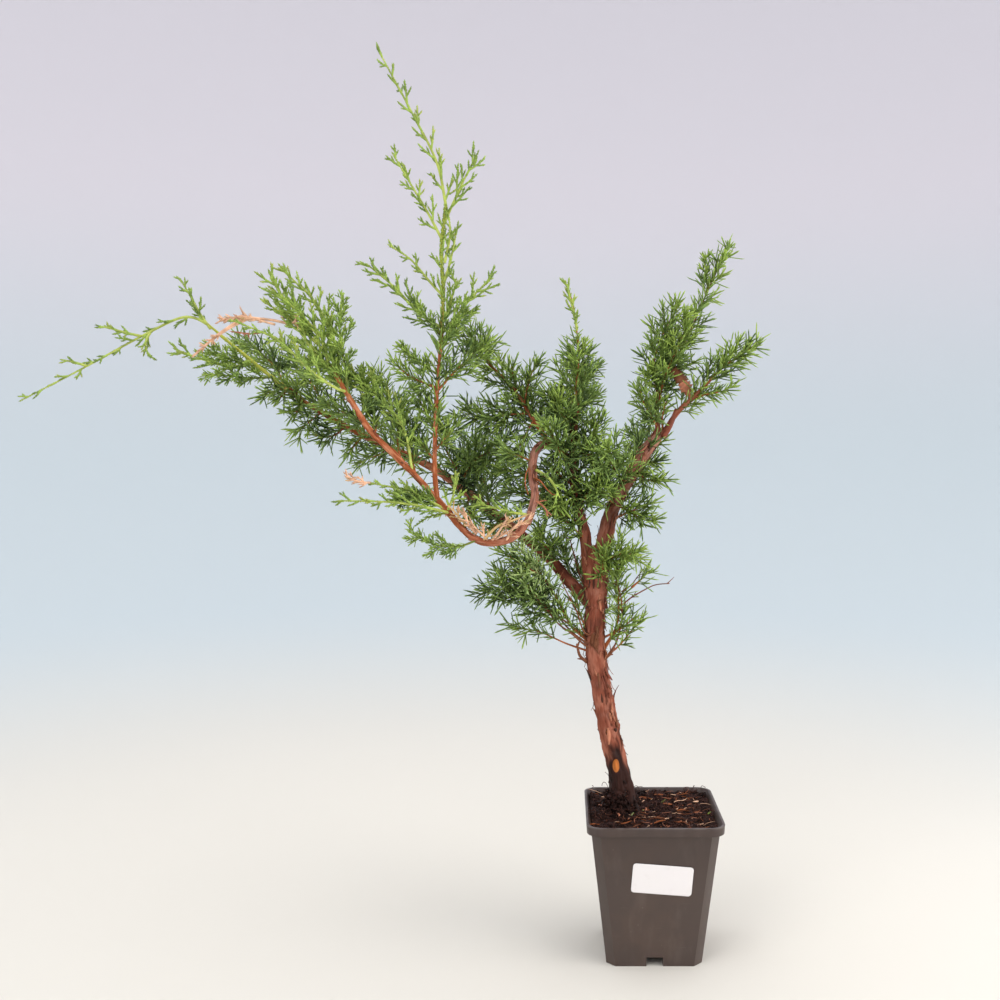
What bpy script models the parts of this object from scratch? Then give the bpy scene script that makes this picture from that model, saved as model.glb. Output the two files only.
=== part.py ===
"""Kishu juniper, a young unstyled tree in the square pot that it was grown in.

Separate solids: the pot with its four feet and drain channel, the compost, a blank label, the
trunk, nine boughs and the masses of foliage. A mass is one stem with twigs that branch from it by
a seeded rule, and each twig carries whorls of three needles. A mass keeps to the space that is
nearer to its own stem than to any other stem, clear of the trunk and the boughs.

Sizes are in metres. Routes are in millimetres from the middle of the pot's base, with +X to the
right, +Y away from the viewer and +Z up. At the end the whole tree is moved so that the middle of
its bounding box's underside is the world's origin.
"""

import math
import random
from dataclasses import dataclass

import bmesh
import bpy
import numpy as np
from mathutils import Matrix, Vector

MM = 0.001
GAP = 0.3 * MM

# Pot
POT_HEIGHT = 100 * MM
RIM_WIDTH = 93.8 * MM
RIM_CORNER = 10 * MM
RIM_HEIGHT = 6 * MM
RIM_DRAFT = 0.4 * MM
BODY_TOP_WIDTH = 87 * MM
BASE_WIDTH = 65.8 * MM
CHAMFER = 6 * MM
WALL = 1.5 * MM
CHANNEL_WIDTH = 11.4 * MM
CHANNEL_HEIGHT = 6.4 * MM
CORNER_STEPS = 4

# Compost and label
SOIL_EDGE = 95.5 * MM
SOIL_MOUND = 97.5 * MM
SOIL_LUMP = 2.2 * MM
SOIL_FLAT = 15 * MM
SOIL_RINGS = 5
LABEL_WIDTH = 41 * MM
LABEL_HEIGHT = 19 * MM
LABEL_THICKNESS = 0.4 * MM
LABEL_CORNER = 2.5 * MM
LABEL_PLACE = (3.5 * MM, 61.5 * MM)
LABEL_TURN = math.radians(-4.5)

# Trunk and boughs
FLARE_HEIGHT = 7 * MM
FLARE_LOBES = 3
FLARE_LOBE_DEPTH = 0.22
LIMB_SHARP = 50

# Curves
CURVE_STEPS = 24
FINE_STEP = 0.1 * MM
END_POINTS = 12
STEEP = 0.9
STEM_STEP = 3.5 * MM

# Foliage
WHORL_SPACING = 11 * MM
NODE_LENGTH = 5 * MM
GOLDEN_TURN = math.radians(137.5)
NODE_TWIST = math.radians(35)
STEM_WIDTH = 1.8 * MM
TWIG_WIDTH = 1.6 * MM
TIP_WIDTH = 1.2 * MM
SHORTEST_TWIG = 8 * MM
NEEDLE_SHARES = (1.0, 0.8, 0.6)
NEEDLE_TESTS = (0.3, 0.65, 1.0)
NEEDLE_BEYOND = 0.55
LENGTH_SPREAD = (0.85, 1.12)
TIP_LENGTH = 6 * MM
TWIG_POINTS = 7
TWIG_BEND = 0.12
TWIG_BARE = 0.25
FIRST_TWIG = 0.4
WELD = 0.001 * MM
SEED = 7


@dataclass(frozen=True)
class Leaf:
    """One kind of foliage: length, lean from the twig, and colour."""

    length: float
    lean: float
    twig_lean: float
    colour: tuple


@dataclass(frozen=True)
class Limb:
    """A trunk or bough: what carries it, its radius at both ends in mm, its sides, the spacing of
    its rings and its route in mm, and how far its foot spreads into the roots."""

    name: str
    parent: str
    radii: tuple
    sides: int
    spacing: float
    route: tuple
    flare: float = 0


@dataclass(frozen=True)
class Mass:
    """Foliage on one stem: its limb and kind, its reach at both ends in mm, the share of the
    stem that is bare, the stem's route and the spacing of its twigs in mm."""

    name: str
    limb: str
    leaf: Leaf
    reach: tuple
    bare: float
    route: tuple
    spacing: float = 10


NEEDLE = Leaf(17 * MM, math.radians(50), math.radians(52), (0.055, 0.155, 0.045))
BLUE_NEEDLE = Leaf(17 * MM, math.radians(52), math.radians(55), (0.070, 0.165, 0.085))
SCALE = Leaf(10 * MM, math.radians(34), math.radians(38), (0.200, 0.360, 0.040))
DRY = Leaf(8 * MM, math.radians(36), math.radians(40), (0.480, 0.200, 0.100))

LIMBS = (
    Limb("trunk", "compost", (8.8, 7.4), 12, 11, (
        (-20, 2, 97.8), (-24, 1, 122), (-28, 0, 151), (-34, 0, 183), (-39, 0, 212), (-40, 0, 240),
        (-40, 0, 262)), flare=4.5),
    Limb("left_leader", "trunk", (3.5, 2.2), 8, 9, (
        (-44.2, 0, 262), (-47, 2, 290), (-52, 5, 314), (-55.5, 8, 338), (-55, 8, 367),
        (-54, 6, 388))),
    Limb("right_leader", "trunk", (4.5, 3.6), 9, 9, (
        (-35.4, 0, 262), (-31, 2, 290), (-25, 5, 314), (-16, 8, 333), (-5, 10, 350),
        (6, 10, 365))),
    Limb("top_right_bough", "right_leader", (1.9, 1.5), 6, 8, (
        (4.4, 10, 366), (4, 13, 384), (8, 16, 402))),
    Limb("right_bough", "right_leader", (1.9, 1.5), 6, 8, (
        (8.4, 9.5, 364.6), (17, 5, 378), (26, 0, 387), (36, -5, 397))),
    Limb("back_bough", "trunk", (4.2, 0.9), 7, 13, (
        (-41, 1, 243), (-58, 8, 259), (-74, 16, 276), (-101, 24, 298), (-136, 24, 325),
        (-160, 18, 342), (-206, 8, 364), (-245, 2, 387), (-270, -2, 407), (-296, -6, 429),
        (-310, -7, 441))),
    Limb("front_bough_drop", "left_leader", (2.9, 2.6), 8, 7, (
        (-54, 7, 332), (-62, -4, 350), (-73, -14, 357), (-82, -22, 350), (-83, -29, 334),
        (-82, -34, 320), (-86, -38, 306))),
    Limb("front_bough_rise", "front_bough_drop", (2.6, 1.6), 7, 9, (
        (-86, -38, 306), (-94, -41, 296), (-105, -43, 291.5), (-117, -44, 292), (-128, -45, 299),
        (-145, -46, 319), (-172, -46, 348), (-191, -45, 367), (-210, -43, 398),
        (-217, -42, 408))),
    Limb("shoot", "front_bough_rise", (1.6, 0.9), 6, 10, (
        (-146, -46, 321), (-147.5, -44, 340), (-147, -43, 365), (-146, -42, 390), (-143, -40, 429),
        (-142, -38, 459), (-143, -38, 484), (-140, -38, 514))),
    Limb("mid_bough", "front_bough_drop", (1.7, 1.2), 6, 8, (
        (-71, -12, 356), (-79, -6, 367), (-86, 0, 378), (-95, -4, 392), (-112, -8, 410))),
)

MASSES = (
    Mass("whip", "back_bough", SCALE, (13, 5), 0.0, (
        (-310, -7, 441), (-323, -8, 443), (-340, -10, 437), (-360, -12, 426), (-394, -14, 407),
        (-434, -16, 386)), spacing=22),
    Mass("whip_side", "back_bough", SCALE, (9, 6), 0.1, (
        (-303, -7, 435), (-311, 0, 453), (-327, 0, 473))),
    Mass("left_low_outer", "back_bough", SCALE, (13, 7), 0.1, (
        (-280, -3, 415), (-288, -10, 410), (-302, -16, 412), (-328, -22, 421))),
    Mass("left_low_inner", "back_bough", NEEDLE, (17, 12), 0.1, (
        (-266, -1, 403), (-280, -10, 398), (-295, -18, 397), (-311, -24, 401))),
    Mass("left_far", "back_bough", NEEDLE, (18, 12), 0.1, (
        (-257, 0, 397), (-267, 14, 411), (-284, 28, 425), (-301, 40, 431))),
    Mass("under_outer", "back_bough", NEEDLE, (17, 12), 0.1, (
        (-245, 2, 387), (-251, -6, 376), (-262, -12, 375))),
    Mass("under_inner", "back_bough", NEEDLE, (18, 13), 0.1, (
        (-216, 6, 369), (-226, 0, 357), (-241, -6, 352))),
    Mass("over_outer", "back_bough", NEEDLE, (20, 15), 0.1, (
        (-233, 4, 380), (-237, 14, 393), (-250, 24, 408), (-261, 32, 419))),
    Mass("over_inner", "back_bough", NEEDLE, (23, 18), 0.1, (
        (-179, 14, 351), (-182, 26, 369), (-191, 36, 392), (-203, 44, 410)), spacing=8),
    Mass("front_crown_left", "front_bough_rise", SCALE, (15, 8), 0.05, (
        (-217, -42, 408), (-221, -46, 426), (-234, -52, 441), (-247, -56, 454), (-260, -58, 466)),
        spacing=13),
    Mass("front_crown_top", "front_bough_rise", SCALE, (15, 6), 0.15, (
        (-211, -43, 399), (-213, -36, 419), (-226, -31, 448), (-241, -28, 465), (-256, -26, 478))),
    Mass("front_crown_right", "front_bough_rise", NEEDLE, (15, 9), 0.15, (
        (-204, -44, 388), (-201, -46, 408), (-204, -47, 435), (-203, -46, 460))),
    Mass("front_crown_low", "front_bough_rise", SCALE, (13, 6), 0.15, (
        (-206, -44, 391), (-211, -55, 393), (-226, -60, 404), (-246, -61, 423), (-283, -62, 438)),
        spacing=13),
    Mass("front_inner", "front_bough_rise", SCALE, (16, 14), 0.25, (
        (-162, -46, 338), (-168, -40, 366), (-184, -35, 387), (-201, -32, 400)), spacing=8),
    Mass("front_low_dry", "front_bough_rise", DRY, (9, 7), 0.1, (
        (-145, -46, 319), (-160, -47, 327), (-178, -50, 332), (-203, -54, 339))),
    Mass("front_low_green", "front_bough_rise", SCALE, (12, 7), 0.1, (
        (-138, -46, 311), (-143, -55, 311), (-160, -60, 316), (-177, -64, 319), (-207, -70, 320))),
    Mass("front_low_tuft", "front_bough_rise", NEEDLE, (15, 14), 0.15, (
        (-119, -45, 293), (-132, -51, 289), (-148, -55, 293), (-161, -58, 300))),
    Mass("shoot_top", "shoot", SCALE, (11, 4), 0.0, (
        (-140, -38, 514), (-146, -38, 542), (-163, -36, 577), (-185, -34, 619))),
    Mass("shoot_right_high", "shoot", SCALE, (11, 7), 0.15, (
        (-142, -38, 500), (-134, -37, 518), (-128, -36, 533), (-121, -34, 549))),
    Mass("shoot_left_high", "shoot", SCALE, (10, 6), 0.1, (
        (-142, -38, 490), (-152, -40, 509), (-164, -42, 529), (-174, -44, 546))),
    Mass("shoot_left_mid", "shoot", SCALE, (10, 7), 0.1, (
        (-142, -38, 454), (-152, -36, 465), (-164, -34, 479), (-179, -32, 489))),
    Mass("shoot_left_long", "shoot", SCALE, (13, 7), 0.1, (
        (-143, -40, 433), (-159, -44, 444), (-172, -48, 458), (-192, -52, 475))),
    Mass("shoot_right_mid", "shoot", SCALE, (14, 8), 0.1, (
        (-143, -40, 430), (-133, -41, 440), (-122, -41, 454), (-106, -40, 470))),
    Mass("shoot_left_low", "shoot", NEEDLE, (17, 13), 0.1, (
        (-145, -42, 393), (-157, -44, 401), (-168, -46, 417), (-175, -48, 429))),
    Mass("shoot_right_low", "shoot", NEEDLE, (18, 13), 0.1, (
        (-145, -42, 392), (-134, -38, 405), (-120, -32, 420), (-106, -28, 430)), spacing=8),
    Mass("mid_left_tip", "mid_bough", NEEDLE, (18, 14), 0.0, (
        (-112, -8, 410), (-121, -12, 421), (-127, -18, 431)), spacing=7),
    Mass("mid_left_up", "mid_bough", NEEDLE, (18, 14), 0.1, (
        (-90, -2, 384), (-86, -9, 401), (-82, -14, 418)), spacing=7),
    Mass("mid_left_low", "mid_bough", NEEDLE, (20, 18), 0.1, (
        (-86, 0, 378), (-101, -6, 377), (-119, -12, 374), (-134, -18, 380)), spacing=6),
    Mass("spire", "left_leader", NEEDLE, (20, 6), 0.0, (
        (-54, 6, 388), (-52, 4, 422), (-56, 0, 454), (-61, -3, 469)), spacing=8),
    Mass("spire_left", "left_leader", NEEDLE, (17, 14), 0.1, (
        (-55, 8, 360), (-64, 2, 372), (-69, -8, 389)), spacing=6),
    Mass("spire_right", "left_leader", NEEDLE, (19, 15), 0.1, (
        (-55, 8, 344), (-44, 0, 359), (-32, -6, 381)), spacing=6),
    Mass("spire_back", "left_leader", NEEDLE, (22, 18), 0.1, (
        (-54, 8, 370), (-52, 30, 386), (-50, 48, 412)), spacing=7),
    Mass("centre_low", "left_leader", NEEDLE, (18, 16), 0.1, (
        (-54, 7, 322), (-61, -6, 320), (-67, -16, 321)), spacing=6),
    Mass("right_front", "right_leader", NEEDLE, (20, 18), 0.1, (
        (-18, 8, 328), (-26, -10, 338), (-34, -22, 350)), spacing=6),
    Mass("right_side", "right_leader", NEEDLE, (17, 15), 0.1, (
        (-12, 8, 339), (-2, 4, 330), (8, 0, 333)), spacing=7),
    Mass("right_low", "right_leader", NEEDLE, (15, 13), 0.1, (
        (-25, 5, 313), (-18, 0, 311), (-9, -4, 305), (4, -8, 303)), spacing=7),
    Mass("right_back", "right_leader", NEEDLE, (22, 19), 0.1, (
        (-13, 8, 338), (-7, 34, 344), (-4, 56, 363)), spacing=8),
    Mass("top_right_tip", "top_right_bough", NEEDLE, (19, 9), 0.0, (
        (8, 16, 402), (23, 16, 427), (36, 14, 452), (45, 12, 472), (59, 10, 501)), spacing=13),
    Mass("top_right_left", "top_right_bough", NEEDLE, (19, 14), 0.1, (
        (5, 14, 389), (-5, 8, 410), (-3, 2, 432), (7, -2, 456)), spacing=8),
    Mass("right_tip", "right_bough", NEEDLE, (18, 12), 0.0, (
        (36, -5, 397), (54, -8, 414), (77, -10, 434))),
    Mass("low_left", "trunk", BLUE_NEEDLE, (12, 26), 0.35, (
        (-41, 0, 217), (-66, -8, 230), (-82, -14, 249), (-103, -20, 268)), spacing=5),
    Mass("low_left_under", "trunk", BLUE_NEEDLE, (12, 16), 0.35, (
        (-39, 0, 209), (-60, -5, 214), (-80, -9, 226), (-99, -12, 230)), spacing=7),
    Mass("low_right", "trunk", NEEDLE, (8, 18), 0.35, (
        (-38, 0, 208), (-24, -4, 230), (-22, -6, 250), (-22, -8, 270), (-12, -10, 285)), spacing=7),
    Mass("low_right_under", "trunk", NEEDLE, (11, 18), 0.3, (
        (-38, 0, 203), (-21, 5, 213), (-10, 8, 225), (0, 8, 238))),
    Mass("low_back", "trunk", BLUE_NEEDLE, (14, 22), 0.3, (
        (-39, 0, 217), (-36, 24, 233), (-38, 44, 256))),
    Mass("back_inner", "back_bough", NEEDLE, (20, 18), 0.1, (
        (-136, 24, 325), (-131, 11, 338), (-119, 3, 349), (-105, -2, 352)), spacing=7),
    Mass("back_far", "back_bough", NEEDLE, (24, 20), 0.1, (
        (-116, 24, 309), (-121, 44, 328), (-134, 62, 354)), spacing=8),
)


def lengths_along(points):
    """The distance travelled along a polyline at each of its points."""
    return np.concatenate([[0], np.cumsum(np.linalg.norm(np.diff(points, axis=0), axis=1))])


def points_at(points, stops):
    """The places on a polyline at these distances along it."""
    travelled = lengths_along(points)
    return np.stack([np.interp(stops, travelled, points[:, axis]) for axis in range(3)], axis=1)


def respace(points, spacing):
    """The same polyline with even points about this far apart."""
    length = lengths_along(points)[-1]
    return points_at(points, np.linspace(0, length, max(2, round(length / spacing) + 1)))


def smooth_curve(route, spacing):
    """Even points along the smooth curve through a route that is given in millimetres."""
    points = [np.array(point, dtype=float) * MM for point in route]
    ends = [2 * points[0] - points[1], *points, 2 * points[-1] - points[-2]]
    fine = []
    for before, start, stop, after in zip(ends, ends[1:], ends[2:], ends[3:]):
        for t in np.linspace(0, 1, CURVE_STEPS, endpoint=False):
            fine.append(0.5 * (2 * start + (stop - before) * t
                               + (2 * before - 5 * start + 4 * stop - after) * t ** 2
                               + (3 * (start - stop) + after - before) * t ** 3))
    return respace(np.array([*fine, points[-1]]), spacing)


def unit(vector):
    """The vector at length one."""
    return vector / np.linalg.norm(vector)


def frames(points):
    """Direction, side and front at each point of a curve, carried along it without a twist."""
    tangents = [unit(step) for step in np.gradient(points, axis=0)]
    side = np.array((0.0, 1.0, 0.0)) if abs(tangents[0][0]) > STEEP else np.array((1.0, 0.0, 0.0))
    result = []
    for tangent in tangents:
        side = unit(side - (side @ tangent) * tangent)
        result.append((tangent, side, np.cross(tangent, side)))
    return result


def distance_to_stem(places, stem):
    """Distance from each place to a stem's middle line."""
    start, run = stem[:-1], np.diff(stem, axis=0)
    offset = places[:, None] - start
    along = np.clip((offset * run).sum(2) / (run ** 2).sum(1), 0, 1)
    return np.linalg.norm(offset - along[..., None] * run, axis=2).min(1)


def distance_to_limb(places, curve, radii):
    """Distance from each place to the surface of a limb with flat ends, below zero inside."""
    start, run = curve[:-1], np.diff(curve, axis=0)
    length = np.linalg.norm(run, axis=1)
    offset = places[:, None] - start
    along = (offset * run).sum(2) / length
    across = np.sqrt(np.maximum((offset ** 2).sum(2) - along ** 2, 0))
    share = np.clip(along / length, 0, 1)
    radial = across - (radii[:-1] * (1 - share) + radii[1:] * share)
    axial = np.maximum(-along, along - length)
    outside = np.hypot(np.maximum(radial, 0), np.maximum(axial, 0))
    inside = np.minimum(np.maximum(radial, axial), 0)
    return (outside + inside).min(1)


def material(name, colour, roughness=0.6):
    """A plain material with one colour."""
    result = bpy.data.materials.new(name)
    result.use_nodes = True
    shader = result.node_tree.nodes["Principled BSDF"]
    shader.inputs["Base Color"].default_value = (*colour, 1.0)
    shader.inputs["Roughness"].default_value = roughness
    shader.inputs["Metallic"].default_value = 0.0
    return result


def add_object(name, bm, look=None):
    """An object from a bmesh, with its faces turned outwards."""
    bmesh.ops.recalc_face_normals(bm, faces=bm.faces)
    mesh = bpy.data.meshes.new(name)
    bm.to_mesh(mesh)
    bm.free()
    if look:
        mesh.materials.append(look)
    result = bpy.data.objects.new(name, mesh)
    bpy.context.scene.collection.objects.link(result)
    return result


def loft(rings):
    """A closed bmesh through rings of equally many points, with flat faces at both ends."""
    bm = bmesh.new()
    rows = [[bm.verts.new(point) for point in ring] for ring in rings]
    for lower, upper in zip(rows, rows[1:]):
        for k, vertex in enumerate(lower):
            after = (k + 1) % len(lower)
            bm.faces.new((vertex, lower[after], upper[after], upper[k]))
    bm.faces.new(rows[0][::-1])
    bm.faces.new(rows[-1])
    return bm


def shade_smooth(result, angle):
    """Smooth shading with edges kept sharp past an angle in degrees."""
    result.data.shade_smooth()
    result.data.set_sharp_from_angle(angle=math.radians(angle))


def square_ring(half, corner, z, chamfered=False):
    """A square outline with round or chamfered corners, anticlockwise from above."""
    ring = []
    for quarter in range(4):
        turn = Matrix.Rotation(quarter * math.pi / 2, 3, "Z")
        for step in range(CORNER_STEPS + 1):
            share = step / CORNER_STEPS
            angle = share * math.pi / 2
            if chamfered:
                x, y = half - corner * share, half - corner * (1 - share)
            else:
                x = half - corner + corner * math.cos(angle)
                y = half - corner + corner * math.sin(angle)
            ring.append(turn @ Vector((x, y, z)))
    return ring


def body_half(z):
    """Half the width of the pot's tapering body at a height."""
    share = z / (POT_HEIGHT - RIM_HEIGHT)
    return (BASE_WIDTH + (BODY_TOP_WIDTH - BASE_WIDTH) * share) / 2


def box(name, low, high):
    """A plain box between two corners."""
    bm = bmesh.new()
    bmesh.ops.create_cube(bm, size=1)
    size = Vector(high) - Vector(low)
    middle = (Vector(high) + Vector(low)) / 2
    bmesh.ops.scale(bm, vec=size, verts=bm.verts)
    bmesh.ops.translate(bm, vec=middle, verts=bm.verts)
    return add_object(name, bm)


def evaluated_mesh(item):
    """The object's mesh with its modifiers applied."""
    return bpy.data.meshes.new_from_object(item.evaluated_get(bpy.context.evaluated_depsgraph_get()))


def combine(target, other, operation):
    """Join or cut the target with another object, which is then removed."""
    modifier = target.modifiers.new("Combine", "BOOLEAN")
    modifier.operation = operation
    modifier.object = other
    mesh = evaluated_mesh(target)
    target.modifiers.remove(modifier)
    target.data = mesh
    bpy.data.objects.remove(other)


def channel_boxes(width, height, length):
    """Two crossing boxes round the drain channel under the pot, open downwards."""
    half = width / 2
    return (box("along", (-length, -half, -height), (length, half, height)),
            box("across", (-half, -length, -height), (half, length, height)))


def build_pot():
    """The pot: a thin tapering shell with a rim band, and four feet round a drain channel."""
    shoulder = POT_HEIGHT - RIM_HEIGHT
    body_half_top = BODY_TOP_WIDTH / 2
    rim_half = RIM_WIDTH / 2
    pot = add_object("pot", loft([
        square_ring(body_half(0), CHAMFER, 0, True),
        square_ring(body_half_top, CHAMFER, shoulder, True),
        square_ring(rim_half - RIM_DRAFT, RIM_CORNER, shoulder),
        square_ring(rim_half, RIM_CORNER, POT_HEIGHT),
        square_ring(rim_half - WALL, RIM_CORNER - WALL, POT_HEIGHT),
        square_ring(body_half_top - WALL, CHAMFER, shoulder - WALL, True),
        square_ring(body_half(WALL) - WALL, CHAMFER, WALL, True),
    ]), material("pot_plastic", (0.060, 0.052, 0.048), 0.45))
    ridge = CHANNEL_WIDTH + 2 * WALL
    inside = body_half(0) - WALL / 2
    for ridge_box in channel_boxes(ridge, CHANNEL_HEIGHT + WALL, inside):
        combine(ridge_box, box("below", (-1, -1, -1), (1, 1, WALL / 2)), "DIFFERENCE")
        combine(pot, ridge_box, "UNION")
    for cutter in channel_boxes(CHANNEL_WIDTH, CHANNEL_HEIGHT, POT_HEIGHT):
        combine(pot, cutter, "DIFFERENCE")
    shade_smooth(pot, 20)


def build_compost(foot):
    """The compost: it fills the pot, is lumpy on top and flat under the trunk's foot."""
    chance = random.Random(SEED)
    inner = body_half(SOIL_EDGE) - WALL - GAP
    edge = square_ring(inner, CHAMFER, SOIL_EDGE, True)
    flat = [foot + SOIL_FLAT * Vector((point.x, point.y, 0)).normalized() for point in edge]
    for point in flat:
        point.z = SOIL_MOUND
    rings = [square_ring(body_half(WALL) - WALL - GAP, CHAMFER, WALL + GAP, True), edge]
    for step in range(1, SOIL_RINGS):
        share = step / SOIL_RINGS
        ring = [a.lerp(b, share) for a, b in zip(edge, flat)]
        for point in ring:
            point.z -= chance.uniform(0, SOIL_LUMP)
        rings.append(ring)
    compost = add_object("compost", loft([*rings, flat]), material("compost", (0.035, 0.022, 0.016), 0.95))
    clear = CHANNEL_WIDTH + 2 * (WALL + GAP)
    for cutter in channel_boxes(clear, CHANNEL_HEIGHT + WALL + GAP, POT_HEIGHT):
        combine(compost, cutter, "DIFFERENCE")


def build_label():
    """The blank label on the pot's leaning front."""
    lean = math.atan((BODY_TOP_WIDTH - BASE_WIDTH) / 2 / (POT_HEIGHT - RIM_HEIGHT))
    x, z = LABEL_PLACE
    corner = LABEL_CORNER
    outline = []
    for quarter, (side_x, side_y) in enumerate(((1, 1), (-1, 1), (-1, -1), (1, -1))):
        for step in range(CORNER_STEPS):
            angle = (quarter + step / (CORNER_STEPS - 1)) * math.pi / 2
            outline.append(Vector((side_x * (LABEL_WIDTH / 2 - corner) + corner * math.cos(angle),
                                   side_y * (LABEL_HEIGHT / 2 - corner) + corner * math.sin(angle), 0)))
    rings = [[point + Vector((0, 0, height)) for point in outline] for height in (0, LABEL_THICKNESS)]
    label = add_object("label", loft(rings), material("label_paper", (0.80, 0.76, 0.75), 0.5))
    off_wall = GAP / math.cos(lean)
    label.matrix_world = (Matrix.Translation((x, -body_half(z) - off_wall, z))
                          @ Matrix.Rotation(math.pi / 2 + lean, 4, "X")
                          @ Matrix.Rotation(LABEL_TURN, 4, "Z"))


def clear_start(curve, radius, carrier):
    """The curve from where a round end of this radius first clears the limb that carries it."""
    curve = respace(curve, FINE_STEP)
    turns = np.linspace(0, 2 * math.pi, END_POINTS, endpoint=False)
    for k, (_, side, front) in enumerate(frames(curve)):
        rim = curve[k] + radius * (np.outer(np.cos(turns), side) + np.outer(np.sin(turns), front))
        if distance_to_limb(np.vstack([rim, curve[k]]), *carrier).min() >= GAP + FINE_STEP / 2:
            return curve[k:]
    raise ValueError("the route never clears its limb")


def limb_shape(limb, carriers):
    """A limb's middle line and its radii, which taper evenly, starting clear of its carrier."""
    curve = smooth_curve(limb.route, limb.spacing * MM)
    if limb.parent in carriers:
        curve = respace(clear_start(curve, limb.radii[0] * MM, carriers[limb.parent]), limb.spacing * MM)
    return curve, np.linspace(*limb.radii, len(curve)) * MM


def build_limb(limb, curve, radii, look):
    """The solid of one limb: rings along its middle line, flat at both ends, with any root flare."""
    rings = []
    for point, radius, (_, side, front) in zip(curve, radii, frames(curve)):
        spread = limb.flare * MM * math.exp((curve[0][2] - point[2]) / FLARE_HEIGHT)
        ring = []
        for k in range(limb.sides):
            angle = 2 * math.pi * k / limb.sides
            reach = radius + spread * (1 + FLARE_LOBE_DEPTH * math.cos(FLARE_LOBES * angle))
            ring.append(Vector(point + reach * (math.cos(angle) * side + math.sin(angle) * front)))
        rings.append(ring)
    if limb.flare:
        for point in rings[0]:
            point.z = curve[0][2]
    shade_smooth(add_object(limb.name, loft(rings), look), LIMB_SHARP)


class Space:
    """The room that one mass may fill, between the other stems and clear of the limbs."""

    def __init__(self, own, stems, limbs):
        self.own = stems[own]
        self.others = [stem for name, stem in stems.items() if name != own]
        self.limbs = limbs

    def open_to(self, places, width):
        """Whether each place has room for this half width."""
        mine = distance_to_stem(places, self.own)
        spare = np.full(len(places), np.inf)
        for other in self.others:
            spare = np.minimum(spare, (distance_to_stem(places, other) - mine - GAP) / 2)
        for curve, radii in self.limbs:
            spare = np.minimum(spare, distance_to_limb(places, curve, radii) - GAP)
        return spare > width


def longest_share(root, needle, space):
    """How much of a needle fits in the space, or none."""
    along = np.array(NEEDLE_TESTS)
    for share in NEEDLE_SHARES:
        if space.open_to(root + share * np.outer(along, needle), (1 - along) * NODE_LENGTH / 2).all():
            return share
    return 0


def node_stops(length, bare):
    """Where each whorl's node starts and ends along a twig of this length."""
    count = max(1, int((length * (1 - bare) - TIP_LENGTH) / WHORL_SPACING))
    stops = [0.0]
    for node in range(count):
        end = length - TIP_LENGTH - node * (length * (1 - bare) - TIP_LENGTH) / count
        stops[1:1] = [max(end - NODE_LENGTH, NODE_LENGTH / 2), max(end, NODE_LENGTH)]
    return stops


def triangle(bm, point, width, angle, side, front):
    """Three new vertices round a point of a twig."""
    corners = [angle + third * 2 * math.pi / 3 for third in range(3)]
    return [bm.verts.new(point + width * (math.cos(a) * side + math.sin(a) * front)) for a in corners]


def needled_twig(curve, widths, leaf, space, chance, bare):
    """A three-sided twig with a whorl of three needles at each node, as one closed bmesh."""
    length = lengths_along(curve)[-1]
    stops = node_stops(length, bare)
    points = points_at(curve, stops)
    directions = frames(np.vstack([points, curve[-1:]]))
    turn = chance.uniform(0, 2 * math.pi)
    bm = bmesh.new()
    rows = []
    for k, (point, stop) in enumerate(zip(points, stops)):
        width = widths[0] + (widths[1] - widths[0]) * stop / length
        rows.append(triangle(bm, point, width, turn + NODE_TWIST * (k // 2), *directions[k][1:]))
    for k, (lower, upper) in enumerate(zip(rows, rows[1:])):
        middle = (points[k] + points[k + 1]) / 2
        for s in range(3):
            corners = [lower[s], lower[(s + 1) % 3], upper[(s + 1) % 3], upper[s]]
            root = np.mean([corner.co for corner in corners], axis=0)
            lean = math.cos(leaf.lean) * directions[k][0] + math.sin(leaf.lean) * unit(root - middle)
            needle = leaf.length * chance.uniform(*LENGTH_SPREAD) * lean
            share = longest_share(root, needle, space) if k % 2 == 1 else 0
            if share:
                close_to_point(bm, corners, root + share * needle)
            else:
                bm.faces.new(corners)
    close_to_point(bm, rows[-1], curve[-1])
    bm.faces.new(rows[0][::-1])
    return bm


def close_to_point(bm, ring, tip):
    """Faces from a ring of vertices to one new vertex."""
    point = bm.verts.new(tip)
    for first, second in zip(ring, ring[1:] + ring[:1]):
        bm.faces.new((first, second, point))


def twig_curves(mass, stem, space, chance):
    """The middle lines of a mass's side twigs, cut short where they would leave its space."""
    leaf = mass.leaf
    length = lengths_along(stem)[-1]
    count = max(1, int(length * (1 - mass.bare) / (mass.spacing * MM)))
    directions = frames(stem)
    turn = chance.uniform(0, 2 * math.pi)
    steps = np.linspace(0, 1, TWIG_POINTS)[:, None]
    for k in range(count):
        share = mass.bare + (1 - mass.bare) * (k + FIRST_TWIG) / count
        base = points_at(stem, [share * length])[0]
        tangent, side, front = directions[int(share * (len(stem) - 1))]
        turn += GOLDEN_TURN
        outward = math.cos(turn) * side + math.sin(turn) * front
        reach = (mass.reach[0] + (mass.reach[1] - mass.reach[0]) * share) * MM
        run = (reach - NEEDLE_BEYOND * leaf.length * math.sin(leaf.lean)) / math.sin(leaf.twig_lean)
        run *= chance.uniform(*LENGTH_SPREAD)
        if run < SHORTEST_TWIG:
            continue
        line = base + run * steps * (math.cos(leaf.twig_lean) * tangent + math.sin(leaf.twig_lean) * outward)
        line = line + TWIG_BEND * run * steps ** 2 * (tangent - outward / 2)
        free = space.open_to(line, TWIG_WIDTH)
        free[0] = True
        kept = TWIG_POINTS if free.all() else int(np.argmin(free))
        if run * (kept - 1) / (TWIG_POINTS - 1) >= SHORTEST_TWIG:
            yield line[:kept]


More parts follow.
